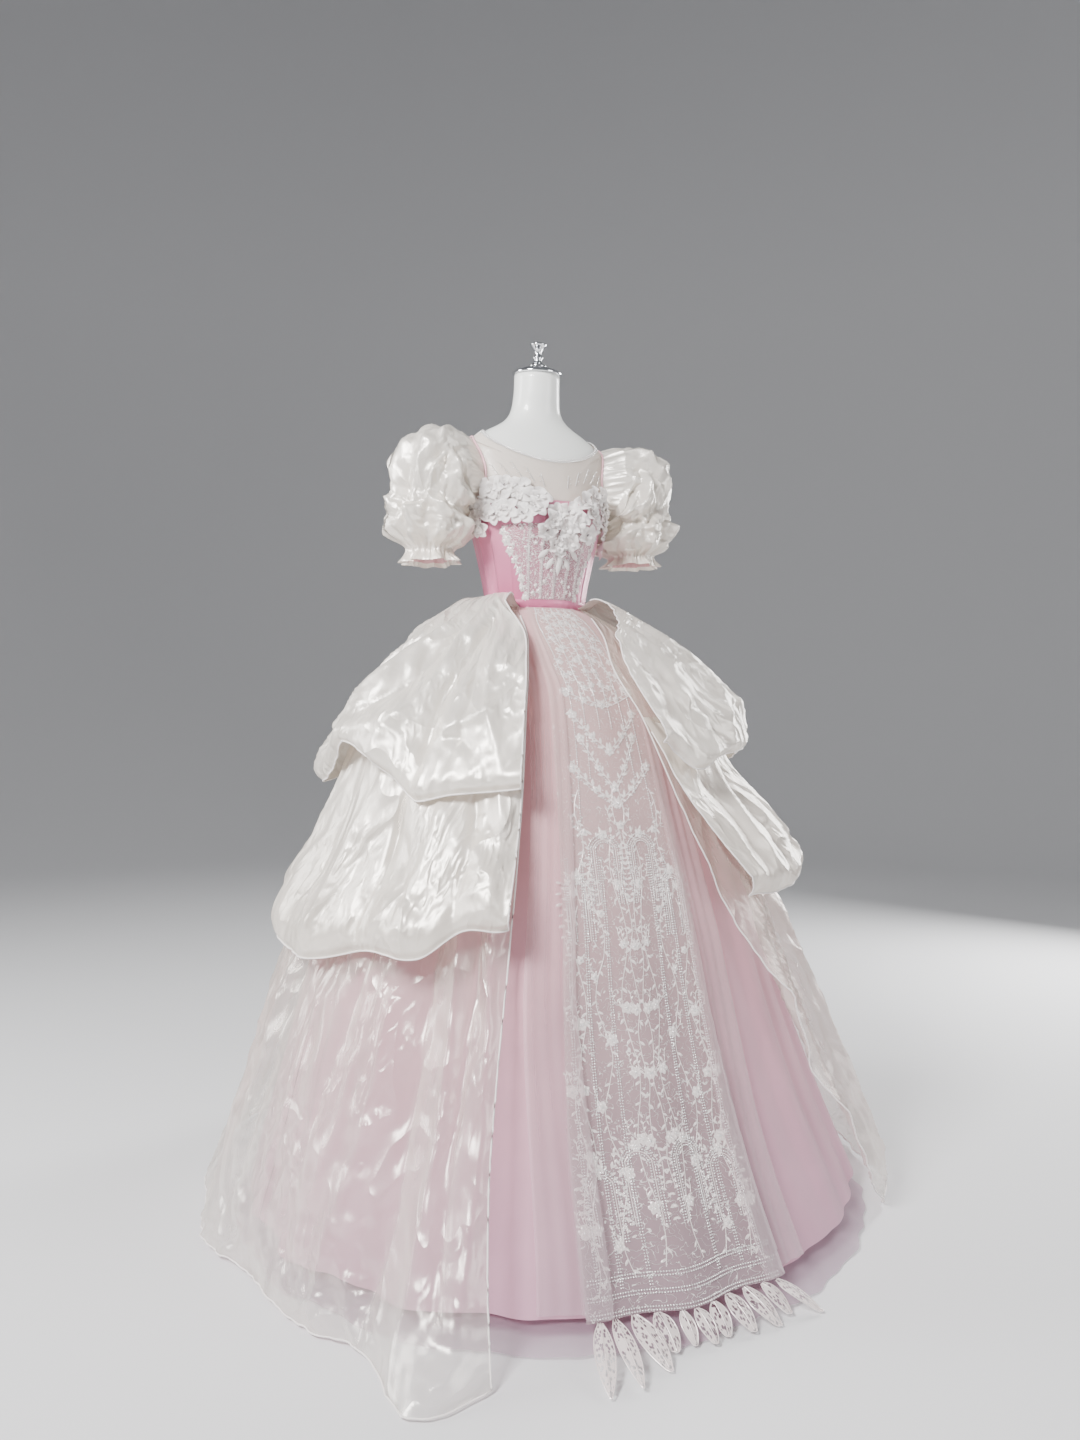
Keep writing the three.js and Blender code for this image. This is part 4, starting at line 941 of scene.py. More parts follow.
def long_grid(side, columns, rows):
    """The long sheer layer on one side, from the waist to the train."""
    k = np.linspace(0, 9, rows)[:, None]
    r = rows_at(LONG_LAYER, k)
    bearing = fan(side, r["z"], columns)
    hem = hermite(bearing, LONG_HEM["bearing"], LONG_HEM[side])
    plain = ellipse(r, SIDE_SIGN[side] * bearing)
    wave = r["fold"] * folds(bearing, 15, 70) - r["fold"] / 9 * pleats(LONG_PLEATS, bearing)
    free = step(k, 3.2, 5.5)
    shift = 0 if side == "right" else 4
    small = 1.8 * creases(bearing - shift, k, LONG_CREASES, 16)
    small = small + 4.5 * crumple(bearing / 7.5, k * 1.4, 40 + shift)
    small = small + 2.0 * crumple(bearing / 3.1, k * 3.5, 60 + shift, 2)
    reach = plain + (hem - plain) * r["flare"] + wave + free * small
    ripple = 6 * step(k, 8.4, 9) * (0.5 + 0.5 * noise(bearing / 4, 0 * k, 31))
    z = r["z"] + 2 + ripple * step(bearing, 30, 60)
    return at(SIDE_SIGN[side] * bearing, reach, z)


def tier_grid(side, table, hems, folded, cut, columns, rows):
    """A short tier from its sewn top edge to a hem whose height changes round it."""
    k = np.linspace(0, len(table["drop"]) - 1, rows)[:, None]
    r = rows_at(table, k)
    guess = fan(side, cut["top"] - r["drop"] * (cut["top"] - hems[side][0]), columns, cut["ahead"][side])
    z = cut["top"] - r["drop"] * (cut["top"] - hermite(guess, hems["bearing"], hems[side]))
    bearing = fan(side, z, columns, cut["ahead"][side])
    down = np.maximum(0, r["drop"])
    wave = r["fold"] * folds(bearing, 13, cut["shift"]) - down**1.3 * pleats(folded, bearing)
    free = step(k, 0.6, 2.6)
    shift = 0 if side == "right" else 5
    small = cut["depth"] * creases(bearing - shift, r["drop"], cut["creases"], 62)
    patch = 0.35 + 0.65 * step(noise(bearing / 13, r["drop"] * 4, cut["shift"] + 3), -0.2, 0.5)
    small = small + 5.0 * patch * crumple(bearing / 9, r["drop"] * 4, cut["shift"] + shift)
    small = small + 2.2 * patch * crumple(bearing / 3.6, r["drop"] * 11, cut["shift"] + 7 + shift, 2)
    wobble = np.sin(rad(57 * bearing + 70 * np.sin(rad(4 * bearing))))
    gathers = cut["gather"] * wobble * bell(down, 0.05, 0.16)
    roll = -7 * step(r["drop"], 0.965, 1.0)
    reach = ellipse(r, SIDE_SIGN[side] * bearing) + wave + free * small + gathers * step(k, 0, 0.7) + roll
    return at(SIDE_SIGN[side] * bearing, reach, z)


UPPER_CUT = {
    "top": UPPER_TOP_Z,
    "ahead": {"right": 0, "left": 5},
    "shift": 15,
    "creases": UPPER_CREASES,
    "depth": 2.2,
    "gather": 2.4,
}
LOWER_CUT = {
    "top": SEAM_Z,
    "ahead": {"right": 0, "left": 0},
    "shift": 150,
    "creases": LOWER_CREASES,
    "depth": 2.0,
    "gather": 0.6,
}
rolled = []


def build_overskirt():
    """Each side's long layer and two tiers, and a rolled hem as a thin tube along each edge."""
    for side in ("right", "left"):
        back = side == "right"
        long = long_grid(side, count(210), count(140))
        lower = tier_grid(side, LOWER_TIER, LOWER_HEM, LOWER_PLEATS, LOWER_CUT, count(220), count(68))
        upper = tier_grid(side, UPPER_TIER, UPPER_HEM, UPPER_PLEATS, UPPER_CUT, count(220), count(76))
        layers = [
            ("long_organza_", "overskirt_long_", long, ORGANZA_SHEER, (2.4, 1.45), 1.65),
            ("lower_tier_", "overskirt_lower_", lower, ORGANZA, (1.9, 0.5), 0.56),
            ("upper_tier_", "overskirt_upper_", upper, ORGANZA, (1.6, 0.55), 0.46),
        ]
        for name, node_name, P, material, flat, area in layers:
            piece = sheet_of(name + side, P, material, backwards=back)
            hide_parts(node_name + side)
            rests = ["satin_waistband"] if "lower" not in name else ["long_organza_" + side]
            cut(piece, "organza", flat, "gathered", rests, area)
            hem = np.concatenate([P[:, 0][step(np.arange(len(P)), 6, 7) > 0.5], P[-1]])
            rolled.append(hem)


build_overskirt()
hems = tubes("rolled_hems", rolled, 0.0016, PETAL, 5)

# %% [markdown]
# The sleeves: balloons of organza, gathered to the armhole and to a small cuff, and twisted and tacked
# inside so that the cloth stands in spiral folds like an open rose. A pink lining shows inside the open
# cuff.

# %% Sleeves
def rosette(around, along, spokes, reach, seed):
    """Folds that turn out of one tacked point like a rose: each starts beside the point and runs past it."""
    rng = np.random.default_rng(seed)
    rows = []
    for n in range(spokes):
        turn = 2 * math.pi * (n + rng.uniform(-0.2, 0.2)) / spokes
        length = reach * rng.uniform(0.75, 1.15)
        start = (around + 9 * math.cos(turn - 1.0), along + 9 * math.sin(turn - 1.0) / SLEEVE_UNIT)
        end = (around + length * math.cos(turn), along + length * math.sin(turn) / SLEEVE_UNIT)
        rows.append((*start, *end, rng.uniform(5.5, 8.5), rng.uniform(8, 12) * (1 if n % 2 else -0.9)))
    return rows


SLEEVE_UNIT = 25
SLEEVE_CREASES = [
    *rosette(62, 1.1, 11, 74, 1), *rosette(112, 3.7, 9, 62, 2), *rosette(20, 3.9, 8, 60, 3),
    *rosette(238, 1.4, 10, 72, 4), *rosette(285, 3.8, 9, 62, 5), *rosette(335, 1.5, 8, 56, 6),
    *rosette(190, 3.6, 7, 50, 7),
]


def sleeve_grid(side, columns, rows, inside=0.0):
    """Points of one sleeve: rings along a bent tube from the armhole to the frilled cuff."""
    k = np.linspace(-1, 7, rows)[:, None]
    t = np.linspace(0, 360, columns, endpoint=False)[None, :]
    r = rows_at(SLEEVE, np.maximum(k, 0))
    wave = np.cos(rad(8 * t + r["turn"])) + 0.5 * np.sin(rad(3 * t + 2 * r["turn"]))
    puff = step(k, 0, 0.9) * (1 - step(k, 5.0, 6.0))
    folded = sum(creases(t + turn, k, SLEEVE_CREASES, SLEEVE_UNIT) for turn in (-360, 0, 360))
    folded = 26 * np.tanh(folded / 18) + 2
    small = 3.0 * crumple(t / 26, k * 1.3, 90) + 1.6 * crumple(t / 11, k * 3.1, 95, 2)
    gather = 2.2 * np.sin(rad(30 * t + 60 * np.sin(rad(3 * t)))) * (bell(k, -0.6, 0.7) + bell(k, 6, 0.8))
    frill = 5 * np.sin(rad(13 * t + 50 * np.sin(rad(2 * t)))) * step(k, 6.1, 7)
    out = r["fold"] * wave + puff * (folded + small) + gather + frill - inside
    up = (r["across"] + out) * np.cos(rad(t))
    y = -(r["deep"] + out) * np.sin(rad(t))
    lift = SLEEVE_LIFT[side] * (np.maximum(k, 0) / 7) ** 2
    x = r["x"] + up * np.sin(rad(r["run"]))
    z = r["z"] + lift + up * np.cos(rad(r["run"]))
    P = np.stack([x, y, z], -1) * MM
    ring = armhole_ring(5, 4.6, t[0])[None]
    start = step(k, -1, 0)[..., None]
    P = ring * (1 - start) + P * start
    return P * [SIDE_SIGN[side], 1, 1]


def build_sleeves():
    """Both balloons with their rose folds, and a pink lining inside the cuff."""
    for side in ("left", "right"):
        P = sleeve_grid(side, count(200), count(110))
        piece = sheet_of("puff_sleeve_" + side, P, ORGANZA_SLEEVE, closed=True, backwards=side == "left")
        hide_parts("sleeve_" + side)
        cut(piece, "organza", (0.75, 0.42), "gathered", ["piping_" + side], 0.18)
        inner = sleeve_grid(side, count(120), count(150), inside=4.0)[count(120):count(144)]
        lining = sheet_of("cuff_lining_" + side, inner, LINING_PINK, closed=True, backwards=side == "left")
        cut(lining, "pink", (0.28, 0.04), "gathered", ["puff_sleeve_" + side])


build_sleeves()

# %% [markdown]
# The lace panel: a strip of embroidered net down the front, sewn on over the tulle and partly under its
# outermost veil. Its pattern is laid out on the cloth in true lengths: x across from the middle, s down
# from the waist.

# %% Lace panel
PANEL_K = np.linspace(0, 7, 400)
PANEL_ROWS = rows_at(TULLE, PANEL_K)
PANEL_S = np.concatenate([[0], np.cumsum(np.hypot(np.diff(PANEL_ROWS["z"]), np.diff(PANEL_ROWS["front"])))])
PANEL_LONG = PANEL_S[-1]


def panel_surface(x, s):
    """A point of the panel's face, x millimetres across and s millimetres down from the waist."""
    r = rows_at(TULLE, np.interp(s, PANEL_S, PANEL_K))
    half = hermite(r["z"], LACE["z"], LACE["half"])
    across = x / half
    bearing = lace_edge(r["z"], r) * across
    fall = (WAIST_Z - r["z"]) / WAIST_Z
    wave = 8 * fall**2 * (1 + np.cos(2 * np.pi * across))
    clear = 0.6 + 2.6 * step(s, 0, 60)
    return at(bearing, ellipse(r, bearing) + clear + wave, r["z"] + 1.2 * (1 - step(s, 0, 50)))


def panel_point(x, s, h=0.0):
    """A point h millimetres above the panel's face."""
    x, s, h = np.broadcast_arrays(np.asarray(x, float), s, h)
    across = panel_surface(x + 1, s) - panel_surface(x - 1, s)
    down = panel_surface(x, np.minimum(s + 1, PANEL_LONG)) - panel_surface(x, np.maximum(s - 1, 0))
    n = np.cross(down, across)
    n /= np.maximum(np.linalg.norm(n, axis=-1, keepdims=True), 1e-12)
    return panel_surface(x, s) + n * h[..., None] * MM


def panel_half(s):
    """Half the panel's width at s."""
    return hermite(np.interp(s, PANEL_S, PANEL_ROWS["z"]), LACE["z"], LACE["half"])


def build_panel():
    """The net panel: panel_point over half widths from -1 to 1 and lengths from the waist to the hem."""
    s = np.linspace(0, PANEL_LONG, count(120))[:, None]
    x = np.linspace(-1, 1, count(64))[None, :] * panel_half(s)
    piece = sheet_of("lace_net_panel", panel_point(x, s + 0 * x), LACE_NET)
    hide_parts("lace_panel")
    cut(piece, "lace", (0.37, 1.32), "hung", ["tulle_skirt_front"], 0.34)


build_panel()

# %% [markdown]
# Embroidery is built as small raised shapes, laid flat in x and s and then lifted onto the cloth: stems as
# narrow ridges, leaves and petals as domed blades, and beads as low round shapes. All of one kind is one
# mesh.

# %% Embroidery kit
def blade(long, wide, high, points=7):
    """A domed leaf or petal as rows of three points, from its base at zero to its tip, with its faces."""
    t = np.linspace(0, 1, points)
    w = wide / 2 * np.sin(np.pi * np.clip(t, 0.03, 0.97)) ** 0.75
    grid = np.stack([
        np.stack([t * long, -w, 0 * t], -1),
        np.stack([t * long, 0 * w, high * np.sin(np.pi * np.clip(t, 0.05, 0.95)) + 0.15], -1),
        np.stack([t * long, w, 0 * t], -1),
    ], 1)
    return grid.reshape(-1, 3), grid_faces(points, 3)


def bead(radius, sides=6):
    """A low round bead."""
    t = np.linspace(0, 2 * np.pi, sides, endpoint=False)
    rings = [(1.0, 0.0), (0.9, 0.7), (0.45, 1.15)]
    P = [np.stack([radius * a * np.cos(t), radius * a * np.sin(t), radius * b + 0 * t], -1) for a, b in rings]
    P.append(np.broadcast_to([0, 0, radius * 1.3], (sides, 3)))
    return np.concatenate(P), grid_faces(4, sides, True)[:, ::-1]


def stamp(shape, places):
    """Copies of a flat shape at places of x, s, turn in degrees and size."""
    points, faces = shape
    x, s, turn, size = np.asarray(places, float).T
    c, n = np.cos(rad(turn))[:, None] * size[:, None], np.sin(rad(turn))[:, None] * size[:, None]
    P = np.stack([
        x[:, None] + points[:, 0] * c - points[:, 1] * n,
        s[:, None] + points[:, 0] * n + points[:, 1] * c,
        points[:, 2] * size[:, None],
    ], -1)
    starts = (np.arange(len(places)) * len(points))[:, None, None]
    return P.reshape(-1, 3), (faces[None] + starts).reshape(-1, 4)


def stem(path, wide, high=0.8):
    """A raised thread along a flat path."""
    path = np.asarray(path, float)
    ahead = np.gradient(path, axis=0)
    ahead /= np.maximum(np.linalg.norm(ahead, axis=-1, keepdims=True), 1e-9)
    side = np.stack([-ahead[:, 1], ahead[:, 0]], -1) * wide / 2
    low = np.zeros(len(path))
    grid = np.stack([np.column_stack([path - side, low]), np.column_stack([path, low + high]),
                     np.column_stack([path + side, low])], 1)
    return grid.reshape(-1, 3), grid_faces(len(path), 3)


def bend(points, n):
    """A smooth flat path of n points through a few."""
    points = np.asarray(points, float)
    k = np.linspace(0, len(points) - 1, n)
    return np.column_stack([hermite(k, np.arange(len(points)), points[:, c]) for c in (0, 1)])


def along(path, gap, start=0.0):
    """Evenly spaced places on a path, with the direction there in degrees."""
    lengths = np.concatenate([[0], np.cumsum(np.linalg.norm(np.diff(path, axis=0), axis=1))])
    at_length = np.arange(start, lengths[-1], gap)
    x, s = np.interp(at_length, lengths, path[:, 0]), np.interp(at_length, lengths, path[:, 1])
    ahead = np.gradient(path, axis=0)
    dx, ds = (np.interp(at_length, lengths, ahead[:, c]) for c in (0, 1))
    turn = np.degrees(np.arctan2(ds, dx))
    return np.column_stack([x, s, turn])


class Needlework:
    """Collects the flat shapes that are worked on one cloth, threads and beads, with x across and s down."""

    def __init__(self, lift):
        """lift is the function that lays flat shapes on the cloth."""
        self.lift = lift
        self.parts = {"thread": [], "bead": []}

    def mirrored(self, kind, part):
        """Adds a shape on both sides of the middle."""
        points, faces = part
        self.parts[kind].append((points, faces))
        self.parts[kind].append((points * [-1, 1, 1], faces[:, ::-1]))

    def line(self, points, n=40, wide=1.6, both=True):
        """A raised thread along a smooth path."""
        path = bend(points, n)
        if both:
            self.mirrored("thread", stem(path, wide))
        else:
            self.parts["thread"].append(stem(path, wide))
        return path

    def beads(self, points, gap=4.2, size=1.5, n=60, both=True):
        """A row of beads, gap apart along a smooth path."""
        places = along(bend(points, n), gap)
        part = stamp(bead(1.0), np.column_stack([places[:, :2], 0 * places[:, :1], size + 0 * places[:, :1]]))
        if both:
            self.mirrored("bead", part)
        else:
            self.parts["bead"].append(part)

    def leaves(self, path, gap=11, long=11, wide=5, spread=48, both=True):
        """Leaves on both sides of a path, turned away from it by spread degrees."""
        places = along(path, gap, gap / 2)
        turns = places[:, 2] + np.where(np.arange(len(places)) % 2, spread, -spread)
        sizes = 0.8 + 0.4 * RNG.random(len(places))
        part = stamp(blade(long, wide, 1.1, 5), np.column_stack([places[:, :2], turns, sizes]))
        if both:
            self.mirrored("thread", part)
        else:
            self.parts["thread"].append(part)

    def flower(self, x, s, size, petals=5, both=True):
        """A ring of petals, a smaller ring above it, and three beads in the middle."""
        turns = np.arange(petals) * 360 / petals + RNG.uniform(0, 72)
        outer = stamp(blade(size * 0.5, size * 0.42, 1.8, 6), [(x, s, t, 1) for t in turns])
        inner = stamp(blade(size * 0.27, size * 0.2, 2.6, 4), [(x, s, t + 36, 1) for t in turns])
        near = size * 0.05
        spots = [(x + near * math.cos(a), s + near * math.sin(a), 0, 1.3) for a in (0, 2.1, 4.2)]
        heart = stamp(bead(1.0), spots)
        heart[0][:, 2] += 1.6
        for kind, part in (("thread", outer), ("thread", inner), ("bead", heart)):
            if both:
                self.mirrored(kind, part)
            else:
                self.parts[kind].append(part)

    def build(self, name):
        """Joins the threads into one piece and the beads into another."""
        for kind, material in (("thread", THREAD), ("bead", BEAD)):
            points, faces = join(self.parts[kind])
            piece = make(name + "_" + kind, self.lift(points), faces[:, ::-1], material)
            print(name, kind, len(faces) * 2, "triangles")


# %% [markdown]
# The panel's pattern, the same on both sides of the middle: fine sprays under the waist, a garland, hanging
# pointed garlands, a row of arches, climbing flower stems between ruled bead lines, and arches again at the
# hem.

# %% Panel embroidery
def sway(x0, x1, s0, s1, swing, turns, n=7):
    """A swinging climbing line from (x0, s0) to (x1, s1)."""
    t = np.linspace(0, 1, n)
    return np.column_stack([x0 + (x1 - x0) * t + swing * np.sin(2 * np.pi * turns * t), s0 + (s1 - s0) * t])


def arch(x, s, wide, tall):
    """A round arch standing on s, with its crown tall above it."""
    t = np.linspace(0, np.pi, 9)
    top = np.column_stack([x - wide / 2 * np.cos(t), s - tall + wide / 2 - wide / 2 * np.sin(t)])
    return np.concatenate([[[x - wide / 2, s]], top, [[x + wide / 2, s]]])


def embroider_panel():
    """Lays the panel's lines, leaves, flowers, arches and beads, mirrored about its middle line."""
    work = Needlework(lambda p: panel_point(p[:, 0], p[:, 1], p[:, 2] + 0.3))
    for x0, x1, s1 in ((6, 12, 330), (22, 44, 420), (36, 74, 520)):
        work.beads([(x0, 6), (x0 * 1.5, 90), (x1 * 0.8, s1 * 0.6), (x1, s1)], 4.6, 1.5, 80)
    for x0, x1, swing, turns in ((5, 10, 4, 3.5), (16, 34, 6, 2.8), (28, 58, 7, 3.2)):
        path = work.line(sway(x0, x1, 6, 262, swing, turns, 15), 90, 1.6)
        work.leaves(path, 8, 8.5, 3.8, 60)
        for n, (x, s) in enumerate(along(path, 37, 12 + x0)[:, :2]):
            work.flower(x + (4 if n % 2 else -4), s, 15)
            work.line([(x, s), (x + 9, s + 6), (x + 7, s + 15), (x + 1, s + 13)], 12, 1.2)
    for s0, depth, reach in ((255, 26, 66), (300, 70, 60), (345, 92, 52), (400, 66, 74)):
        path = work.line([(0, s0 + depth), (reach * 0.45, s0 + depth * 0.62), (reach, s0)], 26, 1.8)
        work.leaves(path, 8, 12, 5.2)
        work.beads([(0, s0 + depth + 7), (reach * 0.45, s0 + depth * 0.62 + 8), (reach, s0 + 8)], 4.4, 1.4)
        work.flower(reach, s0, 19)
        work.flower(reach * 0.5, s0 + depth * 0.6, 14)
        work.flower(0, s0 + depth, 20, both=False)
    arches = ((36, 640, 58, 120), (92, 700, 46, 110), (44, 1150, 62, 120), (112, 1170, 58, 110))
    for x, s, wide, tall in arches:
        for inset in (0, 5, 13):
            work.beads(arch(x, s, wide - 2 * inset, tall - inset), 4.2, 1.5, 90)
        work.line(arch(x, s, wide - 18, tall - 9), 60, 1.5)
        crown = bend(arch(x, s, wide + 12, tall + 6), 60)
        work.leaves(crown, 9, 10, 4.6, 70)
        work.flower(x, s - tall, 20)
    for x0, x1, s0, s1, swing, turns in (
        (20, 34, 520, 1210, 9, 3.0), (60, 84, 560, 1220, 11, 3.5), (96, 134, 640, 1230, 10, 2.6),
        (6, 10, 440, 1100, 5, 5.0), (70, 90, 440, 640, 7, 1.5), (112, 150, 760, 1240, 7, 3.0),
    ):
        path = work.line(sway(x0, x1, s0, s1, swing, turns, 17), 120, 1.5)
        work.leaves(path, 17, 11, 4.2)
        for n, s in enumerate(np.arange(s0 + 40 + 5 * swing, s1 - 20, 104)):
            x = np.interp(s, path[:, 1], path[:, 0])
            work.flower(x + (7 if n % 2 else -7), s, 21 if s > 800 else 15)
            hook = ((0, 0), (12, -12), (14, -26), (7, -31), (4, -24))
            curl = work.line([(x + a, s + c) for a, c in hook], 16, 1.2)
            work.leaves(curl, 9, 7, 3)
    for x0, x1 in ((44, 60), (78, 108), (104, 146)):
        for gap in (0, 4):
            work.beads([(x0 + gap, 560), ((x0 + x1) / 2 + gap, 880), (x1 + gap, 1235)], 4.4, 1.4, 90)
    for s in (1216, 1240, PANEL_LONG - 8):
        for gap in (0, 5):
            half = panel_half(s + gap) - 6
            work.beads([(0, s + gap), (half / 2, s + gap), (half, s + gap - 2)], 4.4, 1.5, 60)
    work.build("panel")


embroider_panel()

# %% [markdown]
# The lace leaves: stiff embroidered net cut out leaf by leaf and sewn to the panel's hem. Each has a thick
# edge and a midrib, with open net between them.

# %% Lace leaves
def leaf_frames():
    """Each leaf's start on the hem, and its directions along, across and up."""
    edge = float(lace_edge(np.array(42.0), {c: TULLE[c][-1] for c in ("front", "right", "left", "back")}))
    frames = []
    for n in range(len(LEAVES["bearing"])):
        b, long, half, out, turn = (LEAVES[c][n] for c in ("bearing", "long", "half", "out", "turn"))
        start = panel_point(176 * b / edge, PANEL_LONG, 0.0) / MM
        along_way = at(b + turn, np.array(out), -math.sqrt(1 - out * out)) / MM
        across = np.array([math.cos(rad(b + turn)), math.sin(rad(b + turn)), 0])
        up = -np.cross(along_way, across)
        up = up if up[2] > 0 else -up
        frames.append((start, along_way, across, up, long, half, n % 2))
    return frames


def leaf_lift(frame_of_leaf):
    """A function that lays flat shapes (along, across, height) on one leaf's curved face."""
    start, ahead, across, up, long, half, raised = frame_of_leaf

    def lift(p):
        """Bends the leaf upwards in the middle and keeps it above the floor."""
        share = np.clip(p[:, 0] / long, 0, 1)
        rise = 20 * share * (1 - share) - 3 * np.abs(p[:, 1]) / half
        rise = rise + raised * 2.4 * step(share, 0, 0.2) - step(share, 0, 0.15)
        P = start + np.outer(p[:, 0] + 0.7, ahead) + np.outer(p[:, 1], across) + np.outer(rise + p[:, 2], up)
        P[:, 2] = np.maximum(P[:, 2] - 2.4 * share, 5 + raised * 2.5 + p[:, 2])
        return P * MM

    return lift


def leaf_half(share):
    """Half width of a leaf along it, as a share of its widest."""
    return np.sin(np.pi * np.clip(share, 0.02, 0.985) ** 0.8) ** 0.7


def build_leaves():
    """Each leaf: leaf_half is its outline and leaf_lift its curved face; rim and midrib are threads."""
    nets, ribs, maps = [], [], []
    for n, frame_of_leaf in enumerate(leaf_frames()):
        long, half = frame_of_leaf[4:6]
        lift = leaf_lift(frame_of_leaf)
        share = np.linspace(0, 1, 26)
        w = half * leaf_half(share)
        grid = np.stack([np.stack([share * long, w * a, 0 * w], -1) for a in np.linspace(-1, 1, 9)], 1)
        nets.append((lift(grid.reshape(-1, 3)), grid_faces(26, 9)))
        maps.append((grid[..., :2].reshape(-1, 2) + [0, 40 * n]) * MM * [0.55, 1])
        outline = np.concatenate([np.stack([share * long, w], -1), np.stack([share * long, -w], -1)[::-1]])
        parts = [stem(outline, 2.2, 1.4), stem(np.stack([share * long * 0.92, 0 * share], -1), 1.6, 1.3)]
        points, faces = join(parts)
        ribs.append((lift(points + [0, 0, 0.3]), faces))
    net = make("leaf_net", *join(nets), LEAF_NET, np.concatenate(maps))
    rib = make("leaf_ribs", *join(ribs), THREAD)
    cut(net, "lace", (0.356, 0.132), "hung", ["lace_net_panel"], 0.0207)
    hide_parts(*["lace_leaf_%d" % (n + 1) for n in range(len(LEAVES["bearing"]))])
    print("leaves", len(nets))


LEAF_NET = cloth(
    "leaf_net", ((0.0, (0.78, 0.68, 0.66)), (0.1, (0.84, 0.76, 0.73))),
    sheen=0.3, opacity=(0.97, 1.0), glow=0.1, threads=1400, holes=(240, 0.42),
)
build_leaves()

# %% [markdown]
# Lace over the bodice: beaded lines down the boning, and scrolls of small leaves and flowers between them,
# the same on both sides. The side panels stay plainer, so the deep pink satin shows there.

# %% Bodice lace
BODICE_SCALE = 2.05


def bodice_lift(p):
    """Lays x across and s down from the bodice's top on the satin. x is in millimetres at the front."""
    bearing = p[:, 0] / BODICE_SCALE
    return body_point(bearing, CORSET_TOP_Z - p[:, 1], 2.2 + bone_rise(bearing) + p[:, 2])


LACE_EDGE = {"z": [1176, 1225, 1270, 1330], "bearing": [29, 33, 41, 50]}


def build_bodice_net():
    """Net over the front of the bodice, between two slanting edges."""
    z = np.linspace(1336, WAIST_Z + 17, count(50))[:, None]
    bearing = np.linspace(-1, 1, count(90))[None, :] * np.interp(z, LACE_EDGE["z"], LACE_EDGE["bearing"])
    P = body_point(bearing, z + 0 * bearing, 2.5 + bone_rise(bearing))
    cut(sheet_of("bodice_net", P, BODICE_NET), "lace", (0.17, 0.15), "stretched", ["satin_front"])


def embroider_bodice():
    """Beaded bones, an edge of flowers, and sprays at random places kept a set distance apart."""
    work = Needlework(bodice_lift)
    for b in (0.01, 14, 27):
        x = b * BODICE_SCALE
        for gap in (-2.4, 2.4):
            work.beads([(x + gap, 50), (x + gap, 120), (x + gap, 190)], 3.6, 1.2, 50)
        work.line([(x, 46), (x, 120), (x, 190)], 40, 1.6)
    z = np.array([1330, 1290, 1250, 1215, 1192])
    out = np.interp(z, LACE_EDGE["z"], LACE_EDGE["bearing"]) * BODICE_SCALE
    path = work.line(np.column_stack([out, CORSET_TOP_Z - z]), 60, 2.0)
    work.leaves(path, 6, 10, 4.6, 60)
    for x, s in along(path, 19, 8)[:, :2]:
        work.flower(x + RNG.uniform(-3, 3), s, RNG.uniform(14, 20))
    spots = []
    while len(spots) < 46:
        x, s = RNG.uniform(5, 92), RNG.uniform(58, 188)
        inside = x < np.interp(CORSET_TOP_Z - s, LACE_EDGE["z"], LACE_EDGE["bearing"]) * BODICE_SCALE - 4
        bare = 33 < x < 50 and 120 < s < 158
        if inside and not bare and all(math.hypot(x - a, s - c) > 11 for a, c in spots):
            spots.append((x, s))
    for n, (x, s) in enumerate(spots):
        if n % 3:
            turn = RNG.uniform(0, 2 * math.pi)
            ends = [(x + 7 * math.cos(turn + q) * q, s + 7 * math.sin(turn + q) * q) for q in (0, 0.6, 1.2)]
            work.leaves(work.line(ends, 10, 1.0), 5, 5, 2.2)
        else:
            work.flower(x, s, RNG.uniform(8, 11))
    work.build("bodice")


build_bodice_net()
embroider_bodice()

# %% [markdown]
# Cloth flowers across the bust: cut petals, cupped and sewn in clusters round a beaded heart, thickest in
# the middle, where they fall to a point that ends in leaves. Fine beaded sprigs climb from them onto the
# yoke.

# %% Bust flowers
def petal_grid():
    """A cupped petal from its base outwards: it widens as a sine, and its rim is round and turned back."""
    t, a = np.meshgrid(np.linspace(0, 1, 8), np.linspace(-1, 1, 9), indexing="ij")
    w = 0.04 + 0.34 * np.sin(np.pi / 2 * t) ** 0.9
    x = t * (1 - 0.4 * a**2 * t)
    z = 0.62 * t**1.4 - 0.36 * t**5 + 0.3 * (a * t) ** 2 - 0.04 * np.cos(7 * a) * t
    return np.stack([x * 0.94, a * w, z], -1).reshape(-1, 3), grid_faces(8, 9)


def cloth_flower(rng):
    """Points of one flower of five outer and three inner petals, of radius one, lying on its back."""
    shape, faces = petal_grid()
    parts = []
    for ring, (number, size, tilt, lift) in enumerate(((5, 1.0, 0.06, 0.05), (3, 0.56, 0.5, 0.14))):
        for n in range(number):
            turn = 2 * np.pi * (n + 0.5 * ring) / number + rng.normal(0, 0.1)
            lean = tilt + rng.normal(0, 0.1)
            p = shape * size * rng.uniform(0.9, 1.08)
            p = np.column_stack([p[:, 0] * math.cos(lean) - p[:, 2] * math.sin(lean) * 0.5, p[:, 1],
                                 p[:, 2] + p[:, 0] * math.sin(lean) + lift])
            p = np.column_stack([p[:, 0] * math.cos(turn) - p[:, 1] * math.sin(turn),
                                 p[:, 0] * math.sin(turn) + p[:, 1] * math.cos(turn), p[:, 2]])
            parts.append((p, faces))
    return join(parts)


def garland(bearing):
    """Height of the flowers' top edge: low in the middle, high over each side of the bust, low at the arm."""
    return 1372 + 52 * step(np.abs(bearing - 4), 4, 44) - 52 * step(np.abs(bearing), 50, 84)


